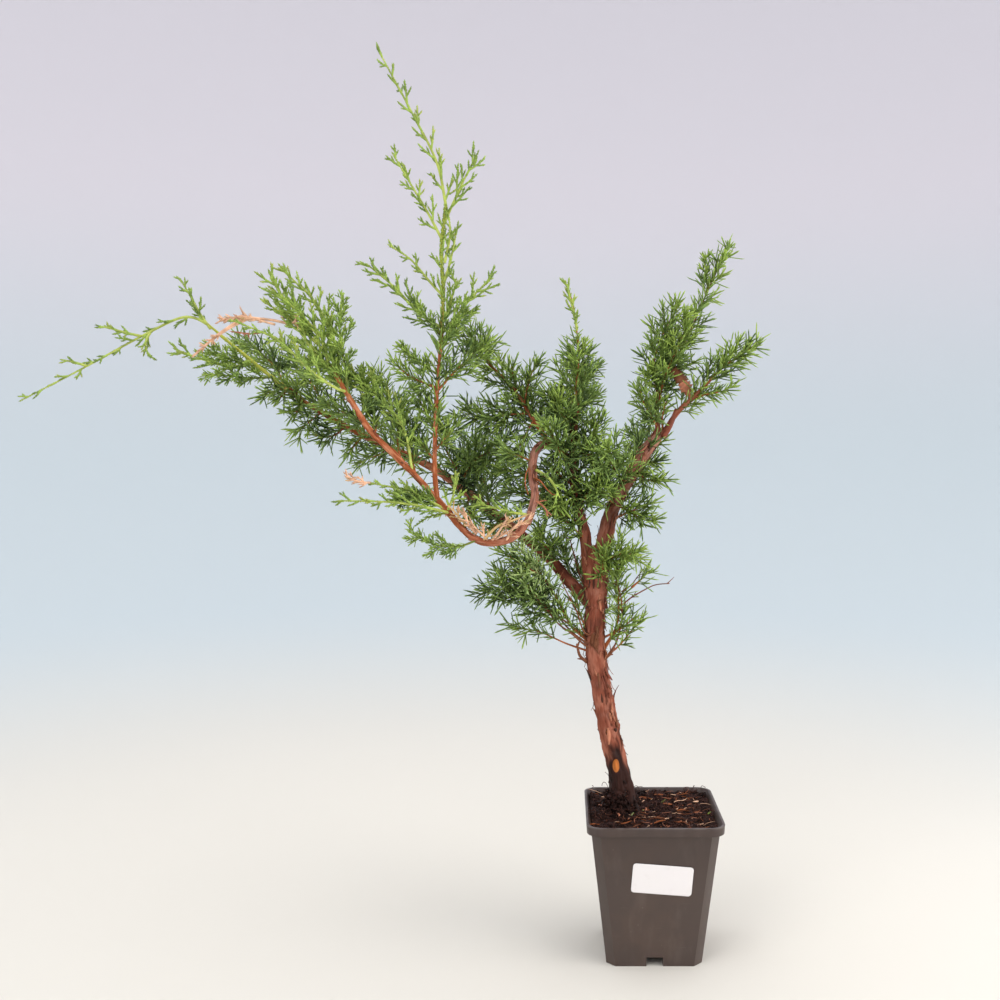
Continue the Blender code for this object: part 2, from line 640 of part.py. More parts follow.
def drop_scraps(result):
    """Keep only the largest connected body of a mesh."""
    bm = bmesh.new()
    bm.from_mesh(result.data)
    bmesh.ops.dissolve_degenerate(bm, dist=WELD, edges=bm.edges)
    unseen = set(bm.verts)
    bodies = []
    while unseen:
        body, edge = set(), [unseen.pop()]
        while edge:
            vertex = edge.pop()
            body.add(vertex)
            near = {other for link in vertex.link_edges for other in link.verts} & unseen
            unseen -= near
            edge.extend(near)
        bodies.append(body)
    bodies.sort(key=len)
    bmesh.ops.delete(bm, geom=[vertex for body in bodies[:-1] for vertex in body], context="VERTS")
    bm.to_mesh(result.data)
    bm.free()


def build_mass(mass, stem, space, look):
    """One mass of foliage: stem, twigs and needles, fused into one solid."""
    chance = random.Random(f"{SEED} {mass.name}")
    body = needled_twig(stem, (STEM_WIDTH, TIP_WIDTH), mass.leaf, space, chance, mass.bare)
    result = add_object(mass.name, body, look)
    fused = bpy.data.collections.new(mass.name)
    bpy.context.scene.collection.children.link(fused)
    for line in twig_curves(mass, stem, space, chance):
        body = needled_twig(line, (TWIG_WIDTH, TIP_WIDTH), mass.leaf, space, chance, TWIG_BARE)
        twig = add_object("twig", body)
        bpy.context.scene.collection.objects.unlink(twig)
        fused.objects.link(twig)
    if fused.objects:
        modifier = result.modifiers.new("Fuse", "BOOLEAN")
        modifier.operation = "UNION"
        modifier.operand_type = "COLLECTION"
        modifier.collection = fused
        modifier.solver = "MANIFOLD"
        mesh = evaluated_mesh(result)
        result.modifiers.remove(modifier)
        result.data = mesh
    for twig in list(fused.objects):
        bpy.data.objects.remove(twig)
    bpy.data.collections.remove(fused)
    drop_scraps(result)


def mass_stem(mass, carrier):
    """The middle line of a mass's stem, starting clear of the limb that carries it."""
    return respace(clear_start(smooth_curve(mass.route, STEM_STEP), STEM_WIDTH, carrier), STEM_STEP)


def build_tree():
    """The trunk, the boughs and the foliage."""
    bark = material("bark", (0.200, 0.072, 0.042), 0.9)
    shapes = {}
    for limb in LIMBS:
        shapes[limb.name] = limb_shape(limb, shapes)
        build_limb(limb, *shapes[limb.name], bark)
    stems = {mass.name: mass_stem(mass, shapes[mass.limb]) for mass in MASSES}
    for mass in MASSES:
        look = material(mass.name, mass.leaf.colour)
        space = Space(mass.name, stems, list(shapes.values()))
        build_mass(mass, stems[mass.name], space, look)


def stand_on_origin():
    """Move everything so that the middle of the bounding box's underside is the origin."""
    bpy.context.view_layer.update()
    solids = [item for item in bpy.context.scene.objects if item.type == "MESH"]
    corners = np.array([item.matrix_world @ vertex.co for item in solids for vertex in item.data.vertices])
    low, high = corners.min(0), corners.max(0)
    shift = Vector((-(low[0] + high[0]) / 2, -(low[1] + high[1]) / 2, -low[2]))
    for item in solids:
        item.location += shift


def main():
    """Build the pot, what fills it and the tree."""
    for item in list(bpy.data.objects):
        bpy.data.objects.remove(item)
    build_pot()
    build_compost(Vector(LIMBS[0].route[0]) * MM)
    build_label()
    build_tree()
    stand_on_origin()


main()
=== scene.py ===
"""Looks of a young juniper in its square nursery pot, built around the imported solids.

The tree is grown by the rule of the part's source. Each mass of foliage keeps its stem, and its
twigs, twiglets and leaves branch from that stem within the same reach and the same space between
the other stems. A route is given as x, y and z in turn, in mm from the middle of the pot's underside.
"""

import logging
import math
import random
from collections.abc import Callable, Iterator
from contextlib import contextmanager
from dataclasses import dataclass, field
from enum import Enum
from functools import cache

import bmesh
import bpy
import numpy as np
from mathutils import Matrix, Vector, noise


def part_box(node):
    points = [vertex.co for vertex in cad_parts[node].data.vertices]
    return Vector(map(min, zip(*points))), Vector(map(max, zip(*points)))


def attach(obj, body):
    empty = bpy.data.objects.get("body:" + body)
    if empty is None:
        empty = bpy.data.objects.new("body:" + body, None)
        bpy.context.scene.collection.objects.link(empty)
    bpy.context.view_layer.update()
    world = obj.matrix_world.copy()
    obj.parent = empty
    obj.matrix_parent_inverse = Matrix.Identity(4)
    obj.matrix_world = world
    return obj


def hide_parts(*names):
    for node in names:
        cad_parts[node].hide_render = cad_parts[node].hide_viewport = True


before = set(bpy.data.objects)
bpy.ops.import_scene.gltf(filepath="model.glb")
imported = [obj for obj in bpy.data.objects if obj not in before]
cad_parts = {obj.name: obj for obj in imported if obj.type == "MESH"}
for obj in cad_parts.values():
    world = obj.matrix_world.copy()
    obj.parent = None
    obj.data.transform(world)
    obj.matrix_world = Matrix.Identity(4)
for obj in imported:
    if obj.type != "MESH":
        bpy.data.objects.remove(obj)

LOG = logging.getLogger("juniper")
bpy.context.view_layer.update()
MM = 0.001
SEED = 7
ROOT = "root"
GOLDEN_TURN = math.radians(137.5)

Triple = tuple[float, float, float]
Route = tuple[float, ...]


# Shader maths


class Number:
    """A number that varies over a surface, which Python's operators work on."""

    def __init__(self, sheet: "NodeSheet", socket: bpy.types.NodeSocket) -> None:
        """Keep the socket and the material it belongs to."""
        self.sheet, self.socket = sheet, socket

    def _math(self, operation: str, first: "Number | float", second: "Number | float") -> "Number":
        """The result of one Math node on two values."""
        node = self.sheet.node("ShaderNodeMath", {"operation": operation}, {0: first, 1: second})
        return Number(self.sheet, node.outputs[0])

    def __add__(self, other: "Number | float") -> "Number":
        """Sum."""
        return self._math("ADD", self, other)

    def __sub__(self, other: "Number | float") -> "Number":
        """Difference."""
        return self._math("SUBTRACT", self, other)

    def __rsub__(self, other: float) -> "Number":
        """Difference with the number second."""
        return self._math("SUBTRACT", other, self)

    def __mul__(self, other: "Number | float") -> "Number":
        """Product."""
        return self._math("MULTIPLY", self, other)

    __radd__, __rmul__ = __add__, __mul__

    def step(self, low: float, high: float) -> "Number":
        """A smooth rise.

        Args:
            low: The value where it is zero.
            high: The value where it is one.

        Returns:
            The rise.
        """
        node = self.sheet.node("ShaderNodeMapRange", {"interpolation_type": "SMOOTHSTEP"},
                               {"Value": self, "From Min": low, "From Max": high})
        return Number(self.sheet, node.outputs["Result"])


class NodeSheet:
    """One material and the maker of its nodes."""

    def __init__(self, name: str, roughness: float, specular: float = 0.5) -> None:
        """Start a material.

        Args:
            name: The material's name.
            roughness: Its plain roughness.
            specular: Its specular level.
        """
        self.material = bpy.data.materials.new(name)
        self.material.use_nodes = True
        self.tree = self.material.node_tree
        self.skin = self.tree.nodes["Principled BSDF"]
        self.skin.inputs["Roughness"].default_value = roughness
        self.skin.inputs["Specular IOR Level"].default_value = specular

    def feed(self, socket: bpy.types.NodeSocket, value: object) -> None:
        """Link or set one input.

        Args:
            socket: The input.
            value: A number that varies, a socket or a plain value.
        """
        if isinstance(value, Number):
            value = value.socket
        if isinstance(value, bpy.types.NodeSocket):
            self.tree.links.new(value, socket)
        elif isinstance(value, tuple) and socket.type == "RGBA":
            socket.default_value = (*value[:3], 1.0)
        else:
            socket.default_value = value

    def node(self, kind: str, settings: dict[str, object] | None = None,
             inputs: dict[str | int, object] | None = None) -> bpy.types.Node:
        """Add one node.

        Args:
            kind: The node's type.
            settings: Its settings, which are set first.
            inputs: The values or links of its sockets.

        Returns:
            The node.
        """
        made = self.tree.nodes.new(kind)
        for name, value in (settings or {}).items():
            setattr(made, name, value)
        for key, value in (inputs or {}).items():
            self.feed(made.inputs[key], value)
        return made

    def place(self) -> bpy.types.NodeSocket:
        """The surface's place on the object."""
        return self.node("ShaderNodeTexCoord").outputs["Object"]

    def axes(self) -> list[Number]:
        """The surface's place as three numbers."""
        outputs = self.node("ShaderNodeSeparateXYZ", {}, {0: self.place()}).outputs
        return [Number(self, outputs[axis]) for axis in "XYZ"]

    def attribute(self, name: str, output: str = "Fac") -> Number:
        """One of the mesh's attributes."""
        return Number(self, self.node("ShaderNodeAttribute", {"attribute_name": name}).outputs[output])

    def stretched(self, vector: object, scale: Triple, turn: Triple = (0, 0, 0)) -> bpy.types.NodeSocket:
        """A vector scaled on each axis, and turned by radians."""
        return self.node("ShaderNodeMapping", {}, {"Vector": vector, "Scale": scale, "Rotation": turn}).outputs[0]

    def noise(self, vector: object, scale: float, detail: float = 2.0) -> Number:
        """Cloudy noise from about 0.2 to 0.8, with this many features for each metre and finer layers."""
        node = self.node("ShaderNodeTexNoise", {}, {"Vector": vector, "Scale": scale, "Detail": detail})
        return Number(self, node.outputs["Fac"])

    def specks(self, vector: object, scale: float) -> Number:
        """The distance to the nearest of many scattered points, in parts of their spacing."""
        node = self.node("ShaderNodeTexVoronoi", {}, {"Vector": vector, "Scale": scale})
        return Number(self, node.outputs["Distance"])

    def blend(self, share: "Number | float", first: object, second: object) -> bpy.types.NodeSocket:
        """A mix of two colours, with this share of the second."""
        return self.node("ShaderNodeMix", {"data_type": "RGBA"}, {0: share, 6: first, 7: second}).outputs[2]

    def dress(self, colour: object, roughness: "Number | None" = None, height: "Number | None" = None,
              depth: float = 0.0002) -> bpy.types.Material:
        """Join the pattern to the shader.

        Args:
            colour: The base colour.
            roughness: A roughness that varies, if it does.
            height: The height of the surface's fine relief, if it has any.
            depth: How deep that relief is, in metres.

        Returns:
            The finished material.
        """
        self.feed(self.skin.inputs["Base Color"], colour)
        if roughness is not None:
            self.feed(self.skin.inputs["Roughness"], roughness)
        if height is not None:
            bump = self.node("ShaderNodeBump", {}, {"Height": height, "Strength": 1.0, "Distance": depth})
            self.feed(self.skin.inputs["Normal"], bump.outputs["Normal"])
        return self.material


# Finishes


class Tone(Enum):
    """The plain colours that leaves, cords and dead shoots are dealt."""

    SHADE = (0.042, 0.073, 0.021)
    DEEP = (0.106, 0.170, 0.050)
    MID = (0.202, 0.300, 0.082)
    FRESH = (0.268, 0.385, 0.080)
    BRIGHT = (0.350, 0.475, 0.095)
    LIME = (0.450, 0.515, 0.115)
    BLUE_DEEP = (0.150, 0.235, 0.075)
    BLUE = (0.300, 0.430, 0.135)
    BLUE_PALE = (0.480, 0.610, 0.240)
    TWIG = (0.190, 0.068, 0.032)
    TWIG_ORANGE = (0.360, 0.110, 0.038)
    TWIG_OLIVE = (0.160, 0.190, 0.040)
    SALMON = (0.830, 0.500, 0.320)
    SALMON_DEEP = (0.450, 0.170, 0.095)
    STRAW = (0.660, 0.440, 0.200)
    DEAD = (0.060, 0.021, 0.013)
    SOIL = (0.016, 0.006, 0.004)
    BARK = (0.210, 0.058, 0.032)


TONES = {tone: number for number, tone in enumerate(Tone)}


@dataclass(frozen=True)
class LeafFinish:
    """Living or dry leaf skin in one plain tone, a little uneven and softly glossy."""

    tone: Tone
    uneven: float = 0.22
    patch: float = 150.0

    def material(self) -> bpy.types.Material:
        """Make the finish.

        Returns:
            The material of this tone.
        """
        sheet = NodeSheet(f"leaf_{self.tone.name.lower()}", 0.48, 0.16)
        cloud = sheet.noise(sheet.place(), self.patch)
        dark, light = (tuple(part * (1 + side * self.uneven) for part in self.tone.value) for side in (-1, 1))
        return sheet.dress(sheet.blend(cloud.step(0.3, 0.7), dark, light), cloud * 0.25 + 0.36)


@cache
def leaf_material(tone: Tone) -> bpy.types.Material:
    """The material of one tone, made when it is first asked for."""
    return LeafFinish(tone).material()


@dataclass(frozen=True)
class BarkFinish:
    """Red-brown fibrous bark weathering to greyish pink, with orange and green young bark and painted shade in cracks.

    The mesh's attributes say where each place lies on the straightened limb, how young its bark
    is (0 old, 1 orange, 2 green), how weathered, how high its relief stands and how much of it is
    bare wood.
    """

    dark: Triple = (0.140, 0.040, 0.024)
    old: Triple = (0.230, 0.063, 0.035)
    old_light: Triple = (0.365, 0.130, 0.080)
    crack: Triple = (0.040, 0.012, 0.008)
    weathered: Triple = (0.420, 0.225, 0.165)
    young: Triple = (0.330, 0.085, 0.028)
    young_light: Triple = (0.560, 0.220, 0.110)
    green: Triple = (0.450, 0.460, 0.070)
    bare: Triple = (0.640, 0.200, 0.045)
    wet: Triple = (0.020, 0.007, 0.005)
    wet_from: float = 0.154
    wet_to: float = 0.128

    def material(self) -> bpy.types.Material:
        """Make the finish.

        Returns:
            The material that all limbs share.
        """
        sheet = NodeSheet("bark", 0.8, 0.15)
        grain = sheet.attribute("grain", "Vector")
        age, worn, relief, wound = (sheet.attribute(name) for name in ("age", "worn", "relief", "wound"))
        fibres = sheet.noise(sheet.stretched(grain, (1, 1, 0.13)), 1500, 4)
        strips = sheet.noise(sheet.stretched(grain, (1, 1, 0.22)), 420, 3)
        patches = sheet.noise(grain, 130, 3)
        blotch = sheet.noise(sheet.stretched(grain, (1, 1, 0.45)), 105, 2)
        mottle = strips * 0.35 + fibres * 0.15 + blotch * 0.75
        skin = sheet.blend(mottle.step(0.44, 0.58), self.dark, self.old)
        skin = sheet.blend(mottle.step(0.58, 0.72), skin, self.old_light)
        pale = (worn + patches * 0.9 - 0.62).step(0.0, 0.75)
        skin = sheet.blend(pale * (fibres.step(0.35, 0.6) * 0.75 + 0.2), skin, self.weathered)
        orange = sheet.blend(strips.step(0.42, 0.66), self.young, self.young_light)
        skin = sheet.blend(age.step(0.15, 0.95), skin, orange)
        skin = sheet.blend((age + patches * 0.5 - 0.25).step(1.1, 1.9), skin, self.green)
        # Painted shade: the bark darkens where its relief is low, in the cracks, less so on young bark.
        crack_shade = (1 - relief.step(0.02, 0.24)) * (1 - age.step(0.6, 1.4) * 0.75)
        skin = sheet.blend(crack_shade * 0.62, skin, self.crack)
        damp = 1 - (sheet.axes()[2] + blotch * 0.09 - 0.045).step(self.wet_to, self.wet_from)
        skin = sheet.blend(damp * 0.95, skin, self.wet)
        cut = sheet.blend(strips.step(0.3, 0.7), self.bare, tuple(part * 0.6 for part in self.bare))
        skin = sheet.blend(wound.step(0.05, 0.35), skin, self.crack)
        skin = sheet.blend(wound.step(0.55, 0.85), skin, cut)
        rough = 0.86 - age.step(0.5, 2.0) * 0.35 - damp * 0.25
        return sheet.dress(skin, rough, fibres * 0.5 + strips * 0.5, 0.0005)


@dataclass(frozen=True)
class PotFinish:
    """Satin taupe-grey plastic, scuffed and dusty, with painted shade near the top and a paler top edge on the rim."""

    base: Triple = (0.062, 0.041, 0.034)
    brown: Triple = (0.077, 0.049, 0.038)
    dust: Triple = (0.160, 0.125, 0.105)
    # The paler colour of the band along the rim's top edge.
    worn: Triple = (0.210, 0.180, 0.170)
    # The colour of the painted shade near the pot's top.
    shade: Triple = (0.027, 0.014, 0.012)
    lip: float = 0.0985

    def material(self) -> bpy.types.Material:
        """Make the finish.

        Returns:
            The pot's material.
        """
        sheet = NodeSheet("pot_plastic", 0.42)
        place, height = sheet.place(), sheet.axes()[2]
        clouds = sheet.noise(place, 38, 4)
        film = sheet.noise(sheet.stretched(place, (1, 1, 0.35)), 90, 5)
        first = sheet.noise(sheet.stretched(place, (1, 1, 18), (0, 0.75, 0)), 60, 2).step(0.70, 0.76)
        second = sheet.noise(sheet.stretched(place, (1, 1, 22), (0, -0.6, 0)), 50, 2).step(0.71, 0.77)
        grit = 1 - sheet.specks(place, 160).step(0.05, 0.11)
        lip = height.step(self.lip, self.lip + 0.0016) * film.step(0.38, 0.62)
        colour = sheet.blend(clouds.step(0.35, 0.68), self.base, self.brown)
        colour = sheet.blend(film.step(0.52, 0.75) * 0.22, colour, self.dust)
        colour = sheet.blend((first + second) * 0.22 + grit * clouds.step(0.52, 0.6) * 0.4, colour, self.dust)
        # Painted shade: the body darkens towards the top, as in the rim's shadow, and the rim is darkened too.
        colour = sheet.blend(height.step(0.055, 0.090) * 0.4, colour, self.shade)
        # A paler band along the rim's top edge, broken up by the dust film.
        colour = sheet.blend(lip * 0.3, colour, self.worn)
        fine = sheet.noise(place, 2600, 2)
        return sheet.dress(colour, film * 0.22 + 0.30 + first * 0.1, fine * 0.5 + film * 0.6, 0.00006)


@dataclass(frozen=True)
class EarthFinish:
    """Moist dark compost with browner crumbs."""

    dark: Triple = (0.005, 0.0018, 0.0012)
    brown: Triple = (0.036, 0.013, 0.009)
    light: Triple = (0.240, 0.080, 0.042)

    def material(self) -> bpy.types.Material:
        """Make the finish.

        Returns:
            The compost's material.
        """
        sheet = NodeSheet("compost", 0.85, 0.14)
        lumps, crumbs = (sheet.noise(sheet.place(), scale, 4) for scale in (190, 900))
        colour = sheet.blend((lumps * 0.6 + crumbs * 0.5).step(0.42, 0.68), self.dark, self.brown)
        colour = sheet.blend(crumbs.step(0.60, 0.72) * 0.7, colour, self.light)
        return sheet.dress(colour, 1 - lumps.step(0.35, 0.6) * 0.55, crumbs, 0.0013)


@dataclass(frozen=True)
class PaperFinish:
    """The blank sticker's smooth white paper, with faint marks of handling."""

    base: Triple = (0.82, 0.785, 0.78)
    rubbed: Triple = (0.74, 0.69, 0.67)

    def material(self) -> bpy.types.Material:
        """Make the finish.

        Returns:
            The sticker's material.
        """
        sheet = NodeSheet("label_paper", 0.42)
        marks, fibre = sheet.noise(sheet.place(), 120, 5), sheet.noise(sheet.place(), 2200, 2)
        colour = sheet.blend(marks.step(0.56, 0.8) * 0.6, self.base, self.rubbed)
        return sheet.dress(colour, marks * 0.3 + 0.28, fibre * 0.6 + marks * 0.8, 0.00005)


@dataclass(frozen=True)
class BackdropFinish:
    """The matte pale sweep that the pot stands on."""

    floor: Triple = (0.705, 0.680, 0.612)
    wall: Triple = (0.565, 0.632, 0.652)
    top: Triple = (0.705, 0.674, 0.700)

    def material(self) -> bpy.types.Material:
        """Make the finish.

        Returns:
            The sweep's material.
        """
        sheet = NodeSheet("backdrop", 0.95, 0.05)
        across, crack_shade, height = sheet.axes()
        colour = sheet.blend((across * across + crack_shade * crack_shade).step(0.04, 1.65), self.floor, self.wall)
        return sheet.dress(sheet.blend(height.step(0.3, 1.15), colour, self.top))


# Curves


def lengths_along(points: np.ndarray) -> np.ndarray:
    """The distance travelled along a polyline at each of its points."""
    return np.concatenate([[0], np.cumsum(np.linalg.norm(np.diff(points, axis=0), axis=1))])


def points_at(points: np.ndarray, stops: np.ndarray) -> np.ndarray:
    """The places on a polyline at these distances along it."""
    travelled = lengths_along(points)
    return np.stack([np.interp(stops, travelled, points[:, axis]) for axis in range(3)], axis=1)


def respace(points: np.ndarray, spacing: float) -> np.ndarray:
    """The same polyline with even points about this far apart."""
    length = lengths_along(points)[-1]
    return points_at(points, np.linspace(0, length, max(2, round(length / spacing) + 1)))


def smooth_curve(route: Route, spacing: float) -> np.ndarray:
    """Even points along the smooth curve through a route.

    Args:
        route: The route.
        spacing: The distance between the points, in metres.

    Returns:
        The points in metres, in the frame.
    """
    points = np.reshape(route, (-1, 3)) * MM + POT_PLACE
    ends = [2 * points[0] - points[1], *points, 2 * points[-1] - points[-2]]
    fine = []
    for before, start, stop, after in zip(ends, ends[1:], ends[2:], ends[3:]):
        for t in np.linspace(0, 1, 24, endpoint=False):
            fine.append(0.5 * (2 * start + (stop - before) * t
                               + (2 * before - 5 * start + 4 * stop - after) * t ** 2
                               + (3 * (start - stop) + after - before) * t ** 3))
    return respace(np.array([*fine, points[-1]]), spacing)


def units(vectors: np.ndarray) -> np.ndarray:
    """The vectors at length one."""
    return vectors / np.maximum(np.linalg.norm(vectors, axis=-1, keepdims=True), 1e-12)


def carried_frames(points: np.ndarray) -> tuple[np.ndarray, np.ndarray, np.ndarray]:
    """Directions that follow a curve without a twist.

    Args:
        points: The curve.

    Returns:
        The direction, side and front at each of its points.
    """
    tangents = units(np.gradient(points, axis=0))
    side = np.array((0.0, 1.0, 0.0)) if abs(tangents[0][0]) > 0.9 else np.array((1.0, 0.0, 0.0))
    sides = []
    for tangent in tangents:
        side = side - (side @ tangent) * tangent
        side = side / math.sqrt(side @ side)
        sides.append(side)
    sides = np.array(sides)
    return tangents, sides, np.cross(tangents, sides)


def spoke(turn: float, side: np.ndarray, front: np.ndarray) -> np.ndarray:
    """The way out of a line at a turn round it."""
    return math.cos(turn) * side + math.sin(turn) * front


# Meshes from arrays


def walls(rings: int, around: int) -> np.ndarray:
    """The triangles that join rings of points.

    Args:
        rings: The number of rings.
        around: The number of points around each.

    Returns:
        The triangles, as places in the points.
    """
    low = np.arange(rings - 1)[:, None] * around + np.arange(around)
    after = np.arange(rings - 1)[:, None] * around + (np.arange(around) + 1) % around
    return np.concatenate([np.stack([low, after, after + around], -1).reshape(-1, 3),
                           np.stack([low, after + around, low + around], -1).reshape(-1, 3)])


def put(name: str, data: bpy.types.ID) -> bpy.types.Object:
    """Add an object for this mesh, light or camera."""
    item = bpy.data.objects.new(name, data)
    bpy.context.scene.collection.objects.link(item)
    return item


class Pile:
    """Many small shapes, gathered as arrays and joined into one piece."""

    needle_angles = np.radians((90.0, 210.0, 330.0))
    needle = np.concatenate([[(0, 2, 1)], walls(2, 3), [(k + 3, (k + 1) % 3 + 3, 6) for k in range(3)]])
    scale = np.array([(0, 2, 1), (0, 1, 3), (1, 2, 3), (2, 0, 3)])

    def __init__(self) -> None:
        """Start empty."""
        self.points, self.triangles, self.tones, self.count = [], [], [], 0

    def add(self, points: np.ndarray, triangles: np.ndarray, tone: "np.ndarray | Tone") -> None:
        """Add shapes.

        Args:
            points: Their points.
            triangles: Their triangles, as places in points.
            tone: The tone of all, or the tone's number of each triangle.
        """
        self.points.append(points)
        self.triangles.append(triangles + self.count)
        self.tones.append(np.broadcast_to(TONES[tone] if isinstance(tone, Tone) else tone, len(triangles)))
        self.count += len(points)

    def add_tube(self, points: np.ndarray, radii: np.ndarray, sides: int, tone: Tone) -> None:
        """Add a closed tube along a curve, pointed at both ends.

        Args:
            points: The curve.
            radii: The radius at each of its points.
            sides: The number of sides.
            tone: Its tone.
        """
        tangents, side, front = carried_frames(points)
        angles = np.linspace(0, 2 * math.pi, sides, endpoint=False)[:, None]
        spokes = np.cos(angles) * side[:, None] + np.sin(angles) * front[:, None]
        rings = points[:, None] + radii[:, None, None] * spokes
        poles = np.array([points[0] - radii[0] * 0.5 * tangents[0], points[-1] + radii[-1] * tangents[-1]])
        count, k = len(points) * sides, np.arange(sides)
        after = (k + 1) % sides
        foot = np.stack([np.full(sides, count), after, k], -1)
        tip = np.stack([np.full(sides, count + 1), count - sides + k, count - sides + after], -1)
        self.add(np.concatenate([rings.reshape(-1, 3), poles]), np.concatenate([walls(len(points), sides), foot, tip]),
                 tone)

    def add_leaves(self, base: np.ndarray, along: np.ndarray, outward: np.ndarray, length: np.ndarray,
                   width: np.ndarray, curl: float, scaly: bool, tone: "np.ndarray | Tone") -> None:
        """Add needles, which keep their width and then end in a point, or small scales, which taper all the way.

        Args:
            base: Where each stands on its twig.
            along: The way each points.
            outward: The way out of the twig at each.
            length: The length of each.
            width: The width of each.
            curl: How far the tips curl inwards, as a share of the length.
            scaly: Whether they are scales.
            tone: The tone of all, or the tone's number of each triangle.
        """
        across = units(np.cross(along, outward))
        keel = np.cross(across, along)
        cos, sin = np.cos(self.needle_angles), np.sin(self.needle_angles)
        spokes = cos[None, :, None] * across[:, None] + 0.6 * sin[None, :, None] * keel[:, None]
        size = length[:, None]
        foot = base - 0.06 * size * along
        middle = base + size * (0.82 * along - 0.6 * curl * keel)
        tip = base + size * (along - curl * keel)
        half = width[:, None, None] / 2
        rings = [foot[:, None] + (1.0 if scaly else 0.8) * half * spokes]
        if not scaly:
            rings.append(middle[:, None] + 0.85 * half * spokes)
        points = np.concatenate([*rings, tip[:, None]], 1)
        triangles = (self.scale if scaly else self.needle)[None] + points.shape[1] * np.arange(len(base))[:, None, None]
        self.add(points.reshape(-1, 3), triangles.reshape(-1, 3), tone)

    def piece(self, name: str) -> bpy.types.Object:
        """Join what was gathered.

        Args:
            name: The piece's name.

        Returns:
            The piece.
        """
        triangles = np.concatenate(self.triangles)
        used, numbers = np.unique(np.concatenate(self.tones), return_inverse=True)
        mesh = bpy.data.meshes.new(name)
        mesh.vertices.add(self.count)
        mesh.vertices.foreach_set("co", np.concatenate(self.points).ravel())
        mesh.loops.add(3 * len(triangles))
        mesh.loops.foreach_set("vertex_index", triangles.ravel())
        mesh.polygons.add(len(triangles))
        mesh.polygons.foreach_set("loop_start", np.arange(len(triangles)) * 3)
        mesh.polygons.foreach_set("material_index", numbers)
        mesh.update(calc_edges=True)
        mesh.shade_smooth()
        for number in used:
            mesh.materials.append(leaf_material(list(Tone)[number]))
        return put(name, mesh)


# The workbench


class Bench:
    """Blender's tools as they are used by hand: one shape at a time, selected by place."""

    @staticmethod
    def start(add: Callable[..., object], name: str, **settings: object) -> bpy.types.Object:
        """Add a primitive.

        Args:
            add: The operator that adds it.
            name: Its name.
            **settings: Its size and place.

        Returns:
            The primitive, with its place in its mesh.
        """
        bpy.ops.object.select_all(action="DESELECT")
        add(**settings)
        bpy.ops.object.transform_apply(location=True, rotation=True, scale=True)
        made = bpy.context.active_object
        made.name = name
        return made

    @staticmethod
    def block(name: str, low: Triple, high: Triple) -> bpy.types.Object:
        """Add a block between its lowest and its highest corner."""
        middle, size = zip(*(((a + b) / 2, b - a) for a, b in zip(low, high)))
        return Bench.start(bpy.ops.mesh.primitive_cube_add, name, size=1, location=middle, scale=size)

    @staticmethod
    def take(item: bpy.types.Object) -> None:
        """Select one object, and nothing else.

        Args:
            item: The object.
        """
        bpy.ops.object.select_all(action="DESELECT")
        item.select_set(True)
        bpy.context.view_layer.objects.active = item

    @staticmethod
    @contextmanager
    def edit(item: bpy.types.Object) -> Iterator[None]:
        """Work in edit mode on one object, with nothing selected at first.

        Args:
            item: The object.

        Yields:
            Nothing, while the object is in edit mode.
        """
        Bench.take(item)
        bpy.ops.object.mode_set(mode="EDIT")
        bpy.ops.mesh.select_all(action="DESELECT")
        yield
        bpy.ops.object.mode_set(mode="OBJECT")

    @staticmethod
    def pick(item: bpy.types.Object, kind: str, test: Callable[[object], bool]) -> None:
        """Select what passes a test, and nothing else.

        Args:
            item: The object, in edit mode.
            kind: Which elements are tested: edges or faces.
            test: The test of one element.
        """
        bpy.ops.mesh.select_all(action="DESELECT")
        bpy.ops.mesh.select_mode(type={"edges": "EDGE", "faces": "FACE"}[kind])
        mesh = bmesh.from_edit_mesh(item.data)
        for element in getattr(mesh, kind):
            if test(element):
                element.select_set(True)
        mesh.select_flush_mode()
        bmesh.update_edit_mesh(item.data)

    @staticmethod
    def finish(item: bpy.types.Object, kind: str, **settings: object) -> None:
        """Add one modifier and apply it.

        Args:
            item: The object.
            kind: The modifier's type.
            **settings: The modifier's settings.
        """
        Bench.take(item)
        modifier = item.modifiers.new(kind.lower(), kind)
        for name, value in settings.items():
            setattr(modifier, name, value)
        bpy.ops.object.modifier_apply(modifier=modifier.name)

    @staticmethod
    def carve(item: bpy.types.Object, other: bpy.types.Object, operation: str) -> None:
        """Join or cut one object with another, which is then removed."""
        Bench.finish(item, "BOOLEAN", operation=operation, object=other, solver="EXACT")
        bpy.data.objects.remove(other)


def dress(item: bpy.types.Object, slot: str, *nodes: str) -> None:
    """Make a piece ride with the tree and stand for its solids.

    Args:
        item: The piece.
        slot: The record's material slot; it is not used.
        *nodes: The solids that it stands for.
    """
    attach(item, ROOT)
    if nodes:
        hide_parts(*nodes)
    LOG.info("%s: %d faces", item.name, len(item.data.polygons))


def paint(item: bpy.types.Object, material: bpy.types.Material) -> None:
    """Give an object this material alone."""
    item.data.materials.clear()
    item.data.materials.append(material)


def pot_place() -> np.ndarray:
    """The middle of the pot's underside, from which the routes are measured."""
    low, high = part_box("pot")
    return np.array(((low[0] + high[0]) / 2, (low[1] + high[1]) / 2, low[2]))


POT_PLACE = pot_place()


# The pot


